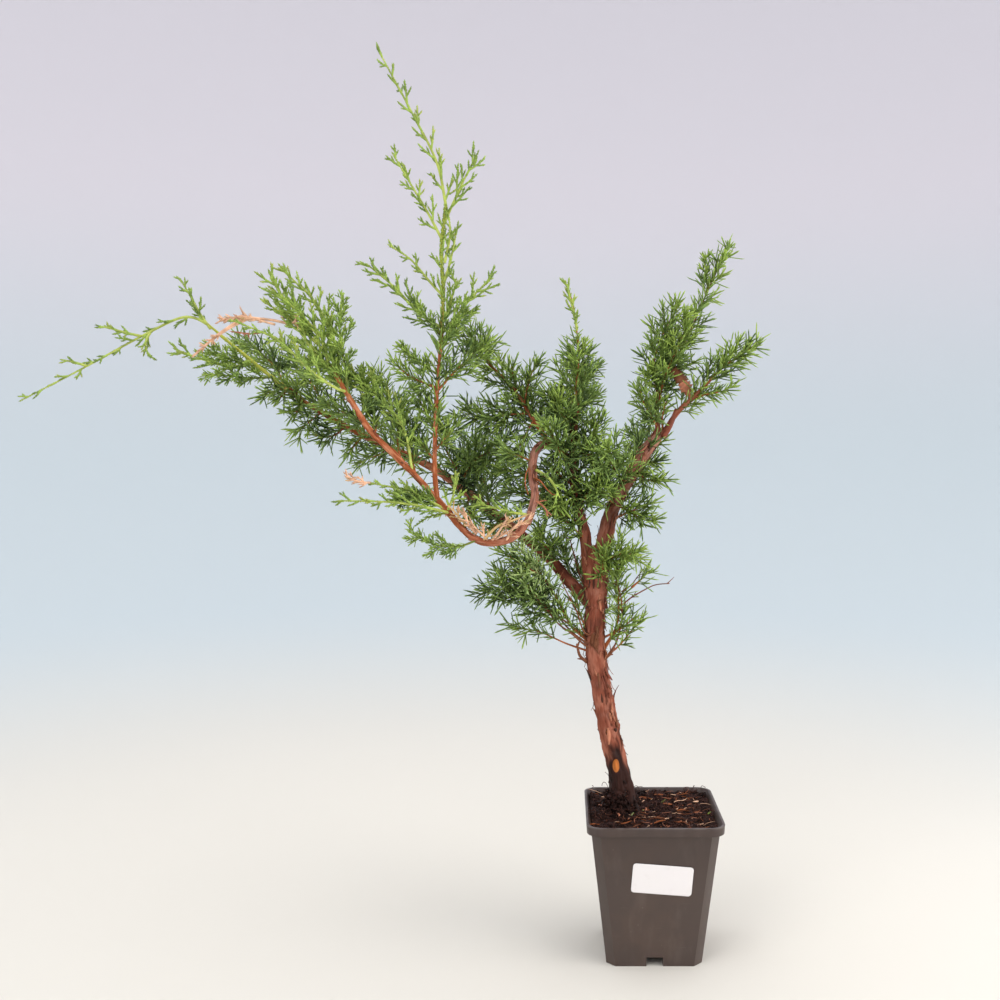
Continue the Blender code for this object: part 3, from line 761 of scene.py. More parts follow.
@dataclass
class Pot:
    """The square nursery pot: a thin tapering shell with a rolled rim and four feet."""

    height: float = 100 * MM
    rim_width: float = 93.8 * MM
    rim_height: float = 6 * MM
    rim_corner: float = 10 * MM
    rim_draft: float = 0.4 * MM
    top_width: float = 87 * MM
    base_width: float = 65.8 * MM
    chamfer: float = 6 * MM
    wall: float = 1.5 * MM
    channel_width: float = 11.4 * MM
    channel_height: float = 6.4 * MM
    edge: float = 0.45 * MM

    def half(self, height: float) -> float:
        """Half the width of the tapering body at a height."""
        share = height / (self.height - self.rim_height)
        return (self.base_width + (self.top_width - self.base_width) * share) / 2

    @staticmethod
    def flared(name: str, low: float, high: float, half_low: float, half_high: float, corner: float,
               cuts: int) -> bpy.types.Object:
        """A square block that widens upwards, with cut or round corners.

        Args:
            name: Its name.
            low: The height of its underside.
            high: The height of its top.
            half_low: Half its width there.
            half_high: Half its width at the top.
            corner: How much of each corner is taken off.
            cuts: The faces of each corner. With one face, it is cut after the block has been widened.

        Returns:
            The block.
        """
        x, y, _ = POT_PLACE
        item = Bench.block(name, (x - half_low, y - half_low, low), (x + half_low, y + half_low, high))
        with Bench.edit(item):
            for widen in (cuts == 1, cuts > 1):
                if widen:
                    Bench.pick(item, "faces", lambda face: face.normal.z > 0.9)
                    scale = half_high / half_low
                    bpy.ops.transform.resize(value=(scale, scale, 1), center_override=(x, y, high))
                else:
                    Bench.pick(item, "edges", lambda edge: abs(
                        edge.verts[0].co.z - edge.verts[1].co.z) > 0.5 * (high - low))
                    bpy.ops.mesh.bevel(offset=corner, segments=cuts)
        return item

    def taper(self, name: str, low: float, high: float, inset: float) -> bpy.types.Object:
        """A block of the body's outline between two heights, with its walls this far inside the body's."""
        return self.flared(name, low, high, self.half(low) - inset, self.half(high) - inset, self.chamfer, 1)

    def channels(self, width: float, low: float, high: float) -> Iterator[bpy.types.Object]:
        """Two crossing bars under the pot.

        Args:
            width: Their width.
            low: The height of their underside.
            high: The height of their top.

        Yields:
            Each bar.
        """
        x, y, _ = POT_PLACE
        for along, across in ((self.height, width / 2), (width / 2, self.height)):
            yield Bench.block("bar", (x - along, y - across, low), (x + along, y + across, high))

    def build(self) -> None:
        """Make the pot."""
        shoulder, rim_half = self.height - self.rim_height, self.rim_width / 2
        pot = self.taper("pot_shell", 0, shoulder + 0.5 * MM, 0)
        Bench.carve(pot, self.flared("rim", shoulder, self.height, rim_half - self.rim_draft, rim_half,
                                     self.rim_corner, 10), "UNION")
        hollow = self.taper("hollow", self.wall, shoulder, self.wall)
        mouth = self.flared("mouth", shoulder - 1.5 * MM, self.height + 0.1 * MM, self.half(shoulder) - self.wall,
                            rim_half - self.wall, self.rim_corner - self.wall, 10)
        for bar in self.channels(self.channel_width + 2 * self.wall, 0, self.channel_height + self.wall):
            Bench.carve(hollow, bar, "DIFFERENCE")
        Bench.carve(hollow, mouth, "UNION")
        Bench.carve(pot, hollow, "DIFFERENCE")
        for bar in self.channels(self.channel_width, -self.height, self.channel_height):
            Bench.carve(pot, bar, "DIFFERENCE")
        Bench.finish(pot, "BEVEL", width=self.edge, segments=3, limit_method="ANGLE", angle_limit=math.radians(38),
                     use_clamp_overlap=True)
        with Bench.edit(pot):
            bpy.ops.mesh.select_all(action="SELECT")
            bpy.ops.mesh.remove_doubles(threshold=0.01 * MM)
            bpy.ops.mesh.normals_make_consistent(inside=False)
        bpy.ops.object.shade_smooth_by_angle(angle=math.radians(32))
        paint(pot, PotFinish().material())
        dress(pot, "pot_plastic", "pot")


@dataclass
class Label:
    """The blank sticker: round corners, thin, one corner lifting a little."""

    pot: Pot
    width: float = 41 * MM
    height: float = 20.9 * MM
    corner: float = 2.3 * MM
    thick: float = 0.16 * MM
    x: float = 4.3 * MM
    z: float = 62.8 * MM
    turn: float = math.radians(-4.5)
    lift: float = 0.5 * MM

    def build(self) -> None:
        """Make the sticker on the pot's front."""
        label = Bench.start(bpy.ops.mesh.primitive_grid_add, "label_paper", x_subdivisions=80, y_subdivisions=40, size=1)
        pot = self.pot
        lean = math.atan((pot.top_width - pot.base_width) / 2 / (pot.height - pot.rim_height))
        for vertex in label.data.vertices:
            across, up = vertex.co.x * self.width, vertex.co.y * self.height
            over_x = max(abs(across) - self.width / 2 + self.corner, 0)
            over_y = max(abs(up) - self.height / 2 + self.corner, 0)
            reach = math.hypot(over_x, over_y)
            if reach > self.corner and over_x and over_y:
                across -= math.copysign(over_x * (1 - self.corner / reach), across)
                up -= math.copysign(over_y * (1 - self.corner / reach), up)
            curl = max(0.0, across / self.width + up / self.height - 0.72)
            wave = 0.05 * MM * noise.noise(Vector((across, up, 0)) * 140)
            vertex.co = (across, up, 0.32 * MM + wave + self.lift * curl ** 2 * 6)
        Bench.finish(label, "SOLIDIFY", thickness=self.thick, offset=1)
        label.rotation_euler = (math.pi / 2 + lean, 0, 0)
        bpy.ops.object.transform_apply(location=True, rotation=True, scale=True)
        cos, sin = math.cos(self.turn), math.sin(self.turn)
        for vertex in label.data.vertices:
            x, y, z = vertex.co
            vertex.co = (x * cos - z * sin, y - (x * sin + z * (cos - 1)) * math.tan(lean), x * sin + z * cos)
            vertex.co += Vector((POT_PLACE[0] + self.x, POT_PLACE[1] - pot.half(self.z), self.z))
        label.data.shade_smooth()
        paint(label, PaperFinish().material())
        dress(label, "label_paper", "label")


@dataclass
class Compost:
    """The compost's lumpy top, with crumbs, bark fibres, chips and curly rootlets on it."""

    pot: Pot
    edge: float = 97.0 * MM
    mound: float = 99.4 * MM
    lowest: float = 95.7 * MM
    thick: float = 2.2 * MM
    cells: int = 150
    lump: float = 3.0 * MM
    crumbs: int = 1700
    heap: int = 1300
    fibres: int = 210
    rootlets: int = 130
    rim_rootlets: int = 26
    roots: int = 90
    foot: tuple[float, float] = (-20 * MM, 2 * MM)
    chance: random.Random = field(default_factory=lambda: random.Random(SEED))

    def level(self, x: float, y: float) -> float:
        """The height of the top at a place that is measured from the pot's middle.

        Args:
            x: The place to the right.
            y: The place to the back.

        Returns:
            The height.
        """
        near = math.exp(-(((x - self.foot[0]) ** 2 + (y - self.foot[1]) ** 2) / (17 * MM) ** 2))
        place = Vector((x, y, 0))
        big = noise.noise(place * 75) + 0.6 * noise.noise(place * 190)
        small = abs(noise.noise(place * 420)) + 0.5 * abs(noise.noise(place * 900))
        rise = self.edge + (self.mound - self.edge) * near + 1.3 * MM * (y / (42 * MM))
        return max(self.lowest, rise + self.lump * (0.55 * big + 0.8 * small - 0.25))

    def on_top(self, x: float, y: float, rise: float = 0.0) -> np.ndarray:
        """The place above the top at this distance from the pot's middle."""
        return np.array((POT_PLACE[0] + x, POT_PLACE[1] + y, self.level(x, y) + rise))

    def scatter(self, reach: float) -> np.ndarray:
        """A random place on the top, within half this width of the middle."""
        return self.on_top(self.chance.uniform(-reach, reach), self.chance.uniform(-reach, reach))

    def top(self) -> bpy.types.Object:
        """The lumpy layer that fills the pot's mouth.

        Returns:
            The layer.
        """
        x, y, _ = POT_PLACE
        half = self.pot.half(self.edge) - 0.9 * MM
        item = Bench.start(bpy.ops.mesh.primitive_grid_add, "compost_top", x_subdivisions=self.cells,
                           y_subdivisions=self.cells, size=2 * half, location=(x, y, 0))
        with Bench.edit(item):
            for side_x, side_y in ((1, 1), (1, -1), (-1, 1), (-1, -1)):
                bpy.ops.mesh.select_all(action="SELECT")
                corner = half - self.pot.chamfer / 2
                bpy.ops.mesh.bisect(plane_co=(x + side_x * corner, y + side_y * corner, 0),
                                    plane_no=(side_x, side_y, 0), clear_outer=True)
        for vertex in item.data.vertices:
            vertex.co.z = self.level(vertex.co.x - x, vertex.co.y - y)
        Bench.finish(item, "SOLIDIFY", thickness=self.thick, offset=-1, use_even_offset=False)
        for vertex in item.data.vertices:
            reach = self.pot.half(vertex.co.z) - self.pot.wall * 0.5
            vertex.co.x = min(max(vertex.co.x, x - reach), x + reach)
            vertex.co.y = min(max(vertex.co.y, y - reach), y + reach)
        item.data.shade_smooth()
        return item

    def crumb_pile(self) -> Pile:
        """Crumbs of many sizes, with a heap of them round the trunk's foot.

        Returns:
            The pile.
        """
        chance, pile, mesh = self.chance, Pile(), bmesh.new()
        bmesh.ops.create_icosphere(mesh, subdivisions=1, radius=1)
        ball = np.array([vertex.co[:] for vertex in mesh.verts])
        faces = np.array([[vertex.index for vertex in face.verts] for face in mesh.faces])
        mesh.free()
        for number in range(self.crumbs + self.heap):
            place = self.scatter(41 * MM)
            size = 0.45 * MM + 1.5 * MM * chance.random() ** 3
            if number >= self.crumbs:
                turn, out = chance.uniform(0, math.tau), (7 + 15 * chance.random() ** 1.5) * MM
                x, y = self.foot[0] + out * math.cos(turn), self.foot[1] + out * math.sin(turn)
                rise = chance.random() ** 1.4 * max(0.0, 15 * MM - out) * 2.2
                place = self.on_top(x, y, rise) - (0.13 * rise, 0, 0)
                size = chance.uniform(0.7, 1.9) * MM
            rough = np.array([chance.uniform(0.6, 1.25) for _ in ball])[:, None]
            squash = np.array([chance.uniform(0.7, 1.4), chance.uniform(0.7, 1.4), chance.uniform(0.6, 1.0)])
            pile.add(ball * rough * squash * size + place, faces, Tone.SOIL)
        return pile

    def fibre_pile(self) -> Pile:
        """Bark fibres, curly rootlets, roots at the trunk's foot and a few fallen needles.

        Returns:
            The pile.
        """
        chance, pile = self.chance, Pile()
        tones = (Tone.TWIG_ORANGE, Tone.TWIG_ORANGE, Tone.TWIG, Tone.DEAD, Tone.SALMON_DEEP, Tone.SALMON)
        share = np.linspace(0, 1, 5)[:, None]
        for _ in range(self.fibres):
            place = self.scatter(39 * MM)
            turn, length = chance.uniform(0, math.tau), chance.uniform(2.5, 9) * MM
            rise, bow = chance.uniform(-0.12, 0.3), chance.uniform(-0.25, 0.25)
            ahead = np.array((math.cos(turn), math.sin(turn), rise))
            across = np.array((-math.sin(turn), math.cos(turn), 0.15))
            line = place + (0, 0, 0.8 * MM) + length * (share * ahead + bow * np.sin(share * math.pi) * across)
            radius = (0.14 + 0.6 * chance.random() ** 3) * MM
            pile.add_tube(line, radius * np.array((0.6, 1, 0.9, 0.8, 0.3)), 4, chance.choice(tones))
        share = np.linspace(0, 1, 14)[:, None]
        for number in range(self.rootlets + self.rim_rootlets):
            place = self.scatter(42 * MM)
            if number >= self.rootlets:
                place[1] = POT_PLACE[1] + chance.uniform(36, 41) * MM
                place[2] += 1.5 * MM
            loops, size = chance.uniform(0.3, 1.1), chance.uniform(2.0, 5.5) * MM
            turn = chance.uniform(0, math.tau) + share * loops * math.pi
            rise = size * chance.uniform(0.3, 1.1) * np.sin(share * math.pi * 0.75)
            curl = np.concatenate([size * share * np.cos(turn), size * share * np.sin(turn), rise], 1)
            pile.add_tube(place + curl, np.full(14, 0.24 * MM), 3, Tone.DEAD)
        share = np.linspace(0, 1, 6)
        for number in range(self.roots):
            turn = chance.uniform(0, math.tau)
            outs = np.linspace(6.5, chance.uniform(11, 19), 6)
            fall = chance.uniform(2, 13) * (1 - share) ** chance.uniform(1.2, 2.4)
            turns = turn + chance.uniform(-0.5, 0.5) * share ** 2
            x, y = self.foot[0] + outs * np.cos(turns) * MM, self.foot[1] + outs * np.sin(turns) * MM
            line = np.array([self.on_top(a, b, c * MM) for a, b, c in zip(x, y, fall)])
            radius = (chance.uniform(0.25, 0.75) if number > 9 else 1.7) * MM
            pile.add_tube(line, radius * np.linspace(1, 0.5, 6), 5, Tone.SOIL)
        for ends, tone in (((-15, -15, -12, -5), Tone.BLUE_PALE), ((-12, 3, -6, -2), Tone.BLUE_PALE),
                           ((39, -9, 41, -7), Tone.BRIGHT), ((8, 12, 11, 15), Tone.TWIG_OLIVE)):
            line = np.array([self.on_top(x * MM, y * MM, 1.2 * MM) for x, y in (ends[:2], ends[2:])])
            line = respace(line, 1.5 * MM)
            pile.add_tube(line, np.full(len(line), 0.5 * MM), 5, tone)
        return pile

    def build(self) -> None:
        """Make the compost's pieces."""
        earth = EarthFinish().material()
        top = self.top()
        crumbs = self.crumb_pile().piece("compost_crumbs")
        for item in (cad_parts["compost"], top, crumbs):
            paint(item, earth)
        dress(top, "compost")
        dress(crumbs, "compost")
        dress(self.fibre_pile().piece("compost_fibres"), "compost")


# Trunk and boughs


@dataclass(frozen=True)
class Limb:
    """A trunk or bough.

    Attributes:
        name: The solid that it stands for.
        radii: Its radius at both ends, in mm.
        route: Its middle line.
        age: How young its bark is, at even steps along it: 0 old, 1 orange, 2 green.
        worn: How weathered its bark is, at even steps along it.
        relief: How deep its bark's relief is, in mm.
        flare: How far its foot spreads, in mm.
        collar: How much thicker it is where it leaves its parent, as a share.
    """

    name: str
    radii: tuple[float, float]
    route: Route
    age: tuple[float, ...] = (0, 0)
    worn: tuple[float, ...] = (0.2, 0.2)
    relief: float = 0.45
    flare: float = 0
    collar: float = 0.3

    def radius(self, share: float) -> float:
        """Its radius in metres at a share of its length."""
        return (self.radii[0] + (self.radii[1] - self.radii[0]) * share) * MM


LIMBS = (
    Limb("trunk", (6.9, 7.1), (-19.5, 2, 93, -23, 1, 122, -29, 0, 151, -35, 0, 183, -40, 0, 210, -40.5, 0, 238, -40, 0,
        262, -39.5, 1, 286), worn=(0.1, 0.3, 0.25, 0.2), relief=1.5, flare=7, collar=0),
    Limb("left_leader", (4.6, 2.3), (-42.5, 0, 244, -44.2, 0, 262, -47, 2, 290, -52, 5, 314, -55.5, 8, 338, -55, 8, 367,
        -54, 6, 388), age=(0, 0.5), relief=0.7, collar=0.3),
    Limb("right_leader", (6.3, 4.0), (-38.5, 0, 242, -37.2, 0, 262, -33.2, 2, 290, -26.5, 5, 314, -16, 8, 333, -5, 10,
        350, 6, 10, 365), worn=(0.2, 0.7), relief=0.9, collar=0.2),
    Limb("top_right_bough", (1.9, 1.5), (3, 10, 361, 4.4, 10, 366, 4, 13, 384, 8, 16, 402), age=(0, 0.5), relief=0.25),
    Limb("right_bough", (1.9, 1.5), (4, 10, 360, 8.4, 9.5, 364.6, 17, 5, 378, 26, 0, 387, 36, -5, 397), age=(0.1, 0.6),
        relief=0.25),
    Limb("back_bough", (4.3, 0.75), (-41, 1, 243, -58, 8, 259, -74, 16, 276, -101, 24, 298, -136, 24, 325, -160, 18,
        342, -206, 8, 364, -245, 2, 387, -270, -2, 407, -296, -6, 429, -310, -7, 441), age=(0, 0, 0.2, 0.6, 0.9, 1.1,
        2.0, 2.0), worn=(0.15, 0.15, 0.3, 0.9, 0.5, 0.2, 0.2, 0.2), relief=0.5),
    Limb("front_bough_drop", (2.9, 2.6), (-54, 7, 332, -62, -4, 350, -73, -14, 357, -82, -22, 350, -83, -29, 334, -82,
        -34, 320, -86, -38, 306), worn=(0.6, 0.7), relief=1.2),
    Limb("front_bough_rise", (2.6, 1.6), (-84, -37, 311, -86, -38, 306, -94, -41, 296, -105, -43, 291.5, -117, -44, 292,
        -128, -45, 299, -145, -46, 319, -172, -46, 348, -191, -45, 367, -210, -43, 398, -217, -42, 408), age=(0.4, 0.6,
        0.9, 1.0, 1.3), worn=(0.7, 0.4, 0.2, 0.2, 0.2), relief=0.75, collar=0),
    Limb("shoot", (1.6, 0.9), (-146, -46, 321, -147.5, -44, 340, -147, -43, 365, -146, -42, 390, -143, -40, 429, -142,
        -38, 459, -143, -38, 484, -140, -38, 514), age=(0.95, 0.95, 1.1, 1.9, 2.0), relief=0.12),
    Limb("mid_bough", (1.7, 1.0), (-71, -12, 356, -79, -6, 367, -86, 0, 378, -95, -4, 392, -112, -8, 410), age=(0.8,
        1.2), relief=0.2),
)


@dataclass
class Wood:
    """The bark of the trunk and the boughs, with its relief, wounds, stubs and flakes."""

    ring_step: float = 0.8 * MM
    grain_width: float = 2.9 * MM
    grain_length: float = 14 * MM
    flare_height: float = 11 * MM
    scar: Triple = (-25.5, -8, 131)
    scar_size: tuple[float, float] = (2.3, 4.3)
    scar_clearance: float = 14
    knot: Triple = (-31.5, -8, 155)
    knot_size: tuple[float, float] = (1.0, 1.3)
    flakes: int = 400
    stubs: int = 60
    chance: random.Random = field(default_factory=lambda: random.Random(SEED + 1))
    bark: bpy.types.Material = field(default_factory=lambda: BarkFinish().material())

    def relief(self, grain: Vector) -> float:
        """The bark's height at a place on the straightened limb.

        Args:
            grain: The place.

        Returns:
            The height, from about zero in the cracks to one.
        """
        drift = 1.1 * noise.noise_vector(grain * 55)
        place = Vector((grain.x / self.grain_width, grain.y / self.grain_width, grain.z / self.grain_length)) + drift
        crack = abs(noise.noise(place))
        strip = noise.noise(place * 0.55 + Vector((7, 3, 1)))
        fine = noise.noise(Vector((place.x * 2.7, place.y * 2.7, place.z * 1.6)))
        ledge = min(1.0, max(0.0, 0.5 + 8 * noise.noise(place * 0.42 + Vector((2, 9, 4)))))
        height = 0.10 + 0.8 * min(crack, 0.32) + 0.35 * strip + 0.26 * fine + 0.42 * ledge
        split = abs(noise.noise(Vector((place.x * 0.75, place.y * 0.75, place.z * 0.22)) + Vector((4, 1, 8))))
        return min(1.0, max(0.0, height)) * min(1.0, 0.15 + split / 0.07)

    def wound(self, place: np.ndarray) -> float:
        """How much a place of the trunk is bare wood: the pruning scar and the knot.

        Args:
            place: The place in mm from the pot's place.

        Returns:
            One on bare wood, zero on bark.
        """
        if place[1] > 0:
            return 0.0
        scar, knot = (math.hypot((place[0] - middle[0]) / across, (place[2] - middle[2]) / along)
                      for middle, (across, along) in ((self.scar, self.scar_size), (self.knot, self.knot_size)))
        return min(1.0, max(0.0, (1.45 - scar) * 2, (1.5 - knot) * 2))

    def build_limb(self, limb: Limb) -> None:
        """Make one limb.

        Args:
            limb: The limb.
        """
        curve = smooth_curve(limb.route, self.ring_step)
        stops = lengths_along(curve)
        count = max(18, round(math.tau * limb.radii[0] / 0.62))
        shift = Vector((0.37 * len(limb.name), 0.11 * ord(limb.name[0]), 0.05 * ord(limb.name[-1])))
        points, grains, reliefs, wounds = [], [], [], []
        for middle, stop, side, front in zip(curve, stops, *carried_frames(curve)[1:]):
            radius = limb.radius(stop / stops[-1]) * (1 + limb.collar * math.exp(-stop / (5 * MM)))
            radius *= 1 + 0.07 * noise.noise(Vector((stop * 70, shift.x * 9, 0)))
            spread = limb.flare * MM * math.exp(-stop / self.flare_height)
            dome = math.sqrt(max(0.0, 1 - max(0.0, 1 - (stops[-1] - stop) / radius) ** 2))
            for angle in np.linspace(0, math.tau, count, endpoint=False):
                cos, sin, out = math.cos(angle), math.sin(angle), spoke(angle, side, front)
                grain = Vector((cos * radius, sin * radius, stop)) + shift
                height = self.relief(grain)
                lobe = noise.noise(Vector((cos, sin, stop * 28)) * 1.3 + shift)
                lobe += 0.9 * noise.noise(Vector((cos, sin, stop * 75)) * 2.1 + shift)
                bare = self.wound((middle + radius * out - POT_PLACE) / MM) if limb.name == "trunk" else 0.0
                lift = limb.relief * MM * ((height - 0.5) * (1 - bare) - 0.55 * bare)
                reach = radius * (1 + 0.11 * lobe) + lift + spread * (1 + 0.35 * math.cos(3 * angle + 1))
                points.append(middle + max(reach * dome, 0.05 * MM) * out)
                grains.append(grain[:])
                reliefs.append(height)
                wounds.append(bare)
        end = len(points)
        points += [curve[0], curve[-1] + 0.1 * MM * (curve[-1] - curve[-2]) / self.ring_step]
        turns = [(k, (k + 1) % count) for k in range(count)]
        faces = [(low + k, low + after, low + count + after, low + count + k)
                 for low in range(0, end - count, count) for k, after in turns]
        faces += [(end, after, k) for k, after in turns]
        faces += [(end + 1, end - count + k, end - count + after) for k, after in turns]
        mesh = bpy.data.meshes.new(limb.name)
        mesh.from_pydata(points, [], faces)
        grain = mesh.attributes.new("grain", "FLOAT_VECTOR", "POINT")
        grain.data.foreach_set("vector", np.array([*grains, grains[0], grains[-1]]).ravel())
        shares = np.append(np.repeat(stops / stops[-1], count), (0, 1))
        for name, values in (("relief", [*reliefs, 0.5, 0.5]), ("wound", [*wounds, 0.0, 0.0]),
                             ("age", np.interp(shares, np.linspace(0, 1, len(limb.age)), limb.age)),
                             ("worn", np.interp(shares, np.linspace(0, 1, len(limb.worn)), limb.worn))):
            mesh.attributes.new(name, "FLOAT", "POINT").data.foreach_set("value", values)
        mesh.materials.append(self.bark)
        mesh.shade_smooth()
        dress(put(f"bark_{limb.name}", mesh), "bark", limb.name)

    def flake_pile(self) -> Pile:
        """Thin strips of bark that peel off the older limbs, and short stubs of lost twigs.

        Returns:
            The pile.
        """
        chance, pile = self.chance, Pile()
        old = [limb for limb in LIMBS if limb.age[0] < 0.5 and limb.radii[0] > 2]
        weights = [limb.radii[0] * len(limb.route) * (2.2 if limb.name == "trunk" else 1) for limb in old]
        for number in range(self.flakes + self.stubs):
            limb = chance.choices(old, weights)[0]
            curve = smooth_curve(limb.route, 2 * MM)
            ring = chance.randrange(3, len(curve) - 3)
            share = ring / (len(curve) - 1)
            if limb.name == "back_bough" and share > 0.7:
                continue
            along, side, front = (ways[ring] for ways in carried_frames(curve))
            out, radius = spoke(chance.uniform(0, math.tau), side, front), limb.radius(share)
            across, foot = np.cross(along, out), curve[ring] + radius * out
            if limb.name == "trunk" and math.dist((foot - POT_PLACE) / MM, self.scar) < self.scar_clearance:
                continue
            if number < self.flakes:
                self.add_flake(pile, foot, out, along * chance.choice((-1, 1)), across, radius)
                continue
            reach = chance.uniform(1.5, 4.5) * MM
            ahead = 0.6 * out + 0.7 * along + 0.3 * across * chance.uniform(-1, 1)
            line = foot - 0.8 * MM * out + np.linspace(0, 1, 4)[:, None] * reach * ahead
            girth = chance.uniform(0.35, 0.7) * MM
            tone = chance.choice((Tone.DEAD, Tone.TWIG, Tone.TWIG))
            pile.add_tube(line, girth * np.array((1.5, 1.0, 0.85, 0.55)), 5, tone)
        return pile

    def add_flake(self, pile: Pile, foot: np.ndarray, out: np.ndarray, along: np.ndarray, across: np.ndarray,
                  radius: float) -> None:
        """Add one peeling strip.

        Args:
            pile: Where it is added.
            foot: Where it still holds.
            out: The way out of the limb.
            along: The way that it runs.
            across: The way across it.
            radius: The limb's radius.
        """
        chance, scale = self.chance, min(1.35, radius / (5 * MM) + 0.3)
        length = chance.uniform(2.0, 8.5) * MM * scale
        width = chance.uniform(0.9, 3.0) * MM * scale
        lift = chance.uniform(0.15, 0.7) * chance.uniform(0.3, 1) * length
        share = np.linspace(0, 1, 5)[:, None]
        spine = foot + 0.25 * MM * out + length * share * along + lift * share ** 2.2 * out
        spine = spine + across * width * 0.6 * chance.uniform(-1, 1) * share ** 2
        half = width / 2 * np.array([chance.uniform(0.6, 1.1) * part for part in (0.6, 1, 1, 0.75, 0.3)])[:, None]
        ways = (-half * across, 0.2 * MM * out, half * across, -0.2 * MM * out)
        rows = np.stack([spine + way for way in ways], 1).reshape(-1, 3)
        ends = [(2, 1, 0), (3, 2, 0), (17, 18, 16), (18, 19, 16)]
        tone = chance.choice((Tone.BARK, Tone.BARK, Tone.TWIG, Tone.TWIG, Tone.SALMON_DEEP, Tone.SALMON_DEEP,
                              Tone.DEAD))
        pile.add(rows, np.concatenate([walls(5, 4), ends]), Tone.SOIL if foot[2] < 0.145 else tone)

    def build(self) -> None:
        """Make the limbs and what peels off them."""
        noise.seed_set(SEED)
        for limb in LIMBS:
            self.build_limb(limb)
        dress(self.flake_pile().piece("bark_flakes"), "bark")


# Foliage


@dataclass(frozen=True)
class Habit:
    """How one kind of shoot branches and what leaves it bears. Lengths are in mm, leans in degrees.

    Attributes:
        slot: The record's material slot.
        lean: The lean of a side twig from its stem.
        fill: How many twigs stand for each of the solid's.
        twiglet_step: The distance between twiglets.
        twiglet_share: A twiglet's length as a share of the twig that is left beyond it.
        twiglet_lean: The lean of a twiglet from its twig.
        radii: The foot radius of a stem, a twig and a twiglet.
        leaf: A leaf's length and width.
        leaf_lean: The lean of a leaf from its twig.
        whorl_step: The distance between whorls.
        whorl: The number of leaves in a whorl.
        curl: How far a leaf's tip curls inwards, as a share.
        tones: Its leaf tones, from dark to light.
        wood: The tones of its stem, twigs and twiglets.
        scaly: Whether its leaves are small scales.
    """

    slot: str
    lean: float
    fill: float
    twiglet_step: float
    twiglet_share: float
    twiglet_lean: float
    radii: Triple
    leaf: tuple[float, float]
    leaf_lean: float
    whorl_step: float
    whorl: int
    curl: float
    tones: tuple[Tone, ...]
    wood: tuple[Tone, Tone, Tone]
    scaly: bool = False


NEEDLE = Habit("needles", 48, 2.1, 6.5, 0.5, 42, (0.9, 0.5, 0.36), (13.2, 1.5), 52, 3.3, 3, 0.08,
               (Tone.SHADE, Tone.DEEP, Tone.MID, Tone.FRESH, Tone.BRIGHT),
               (Tone.TWIG_ORANGE, Tone.TWIG_OLIVE, Tone.TWIG_OLIVE))
SPRAY = Habit("needles", 42, 2.0, 3.6, 0.45, 42, (0.85, 0.6, 0.5), (5.6, 1.35), 40, 2.1, 3, 0.1,
              (Tone.DEEP, Tone.MID, Tone.FRESH, Tone.BRIGHT), (Tone.TWIG_OLIVE, Tone.MID, Tone.FRESH))
PLUME = Habit("needles", 40, 1.2, 9, 0.3, 40, (1.0, 0.6, 0.4), (15.0, 1.6), 52, 2.6, 3, 0.05, NEEDLE.tones, NEEDLE.wood)
BLUE = Habit("blue_needles", 52, 2.3, 6.5, 0.5, 45, (0.9, 0.5, 0.36), (13.0, 1.45), 56, 3.3, 3, 0.05,
             (Tone.BLUE_DEEP, Tone.BLUE, Tone.BLUE, Tone.BLUE_PALE), (Tone.TWIG, Tone.TWIG_OLIVE, Tone.TWIG_OLIVE))
CORD = Habit("young_shoots", 38, 1.3, 2.8, 0.32, 42, (1.05, 0.85, 0.7), (2.9, 1.75), 22, 1.5, 3, 0.1,
             (Tone.MID, Tone.FRESH, Tone.BRIGHT, Tone.LIME), (Tone.LIME, Tone.BRIGHT, Tone.FRESH), True)
DRY = Habit("dry_shoots", 40, 2.4, 2.6, 0.35, 40, (0.85, 0.7, 0.6), (2.6, 1.4), 24, 1.4, 3, 0.15,
            (Tone.SALMON_DEEP, Tone.SALMON, Tone.SALMON, Tone.STRAW), (Tone.SALMON, Tone.SALMON, Tone.SALMON), True)


@dataclass(frozen=True)
class Mass:
    """Foliage on one stem.

    Attributes:
        habit: How it grows.
        reach: How far it reaches from its stem, at even steps along it, in mm.
        route: The stem's route, or the name and two shares of the limb that a fringe grows on.
        spacing: The spacing of the solid's twigs, in mm.
        light: How much lighter its leaves are than usual, partly painted light: lighter outside, darker inside.
        bare: The share of the stem that is bare.
    """

    habit: Habit
    reach: tuple[float, ...]
    route: Route | tuple[str, float, float]
    spacing: float = 10
    light: float = 0.0
    bare: float = 0.1

    def stem(self) -> tuple[np.ndarray, float]:
        """Its stem's middle line, and how far from it the twigs start."""
        return smooth_curve(self.route, 3.5 * MM), 0.0


@dataclass(frozen=True)
class Fringe(Mass):
    """Short twigs that leave a limb directly, with no stem of their own."""

    bare: float = 0.0

    def stem(self) -> tuple[np.ndarray, float]:
        """The stretch of the limb that it grows on, and the limb's radius there.

        Returns:
            The stretch's middle line, and the radius.
        """
        name, *span = self.route
        limb = next(limb for limb in LIMBS if limb.name == name)
        curve = smooth_curve(limb.route, 2 * MM)
        first, last = (round(share * (len(curve) - 1)) for share in span)
        return curve[first:last + 1], limb.radius(sum(span) / 2)


@dataclass
class Shoot:
    """One stem, twig or twiglet.

    Attributes:
        line: Its middle line.
        radii: Its radius at both ends.
        level: 0 for a stem, 1 for a twig, 2 for a twiglet, -1 for a limb, which has its own wood.
        tone: The place of its leaves' tone in the habit's tones.
        bare: The share of it that bears no leaf.
        girth: How far from the line the leaves stand.
        small: The size of its leaves at even steps along it, as shares of the usual size.
    """

    line: np.ndarray
    radii: tuple[float, float]
    level: int
    tone: float
    bare: float = 0.0
    girth: float = 0.0
    small: tuple[float, ...] = (1.0, 1.0)


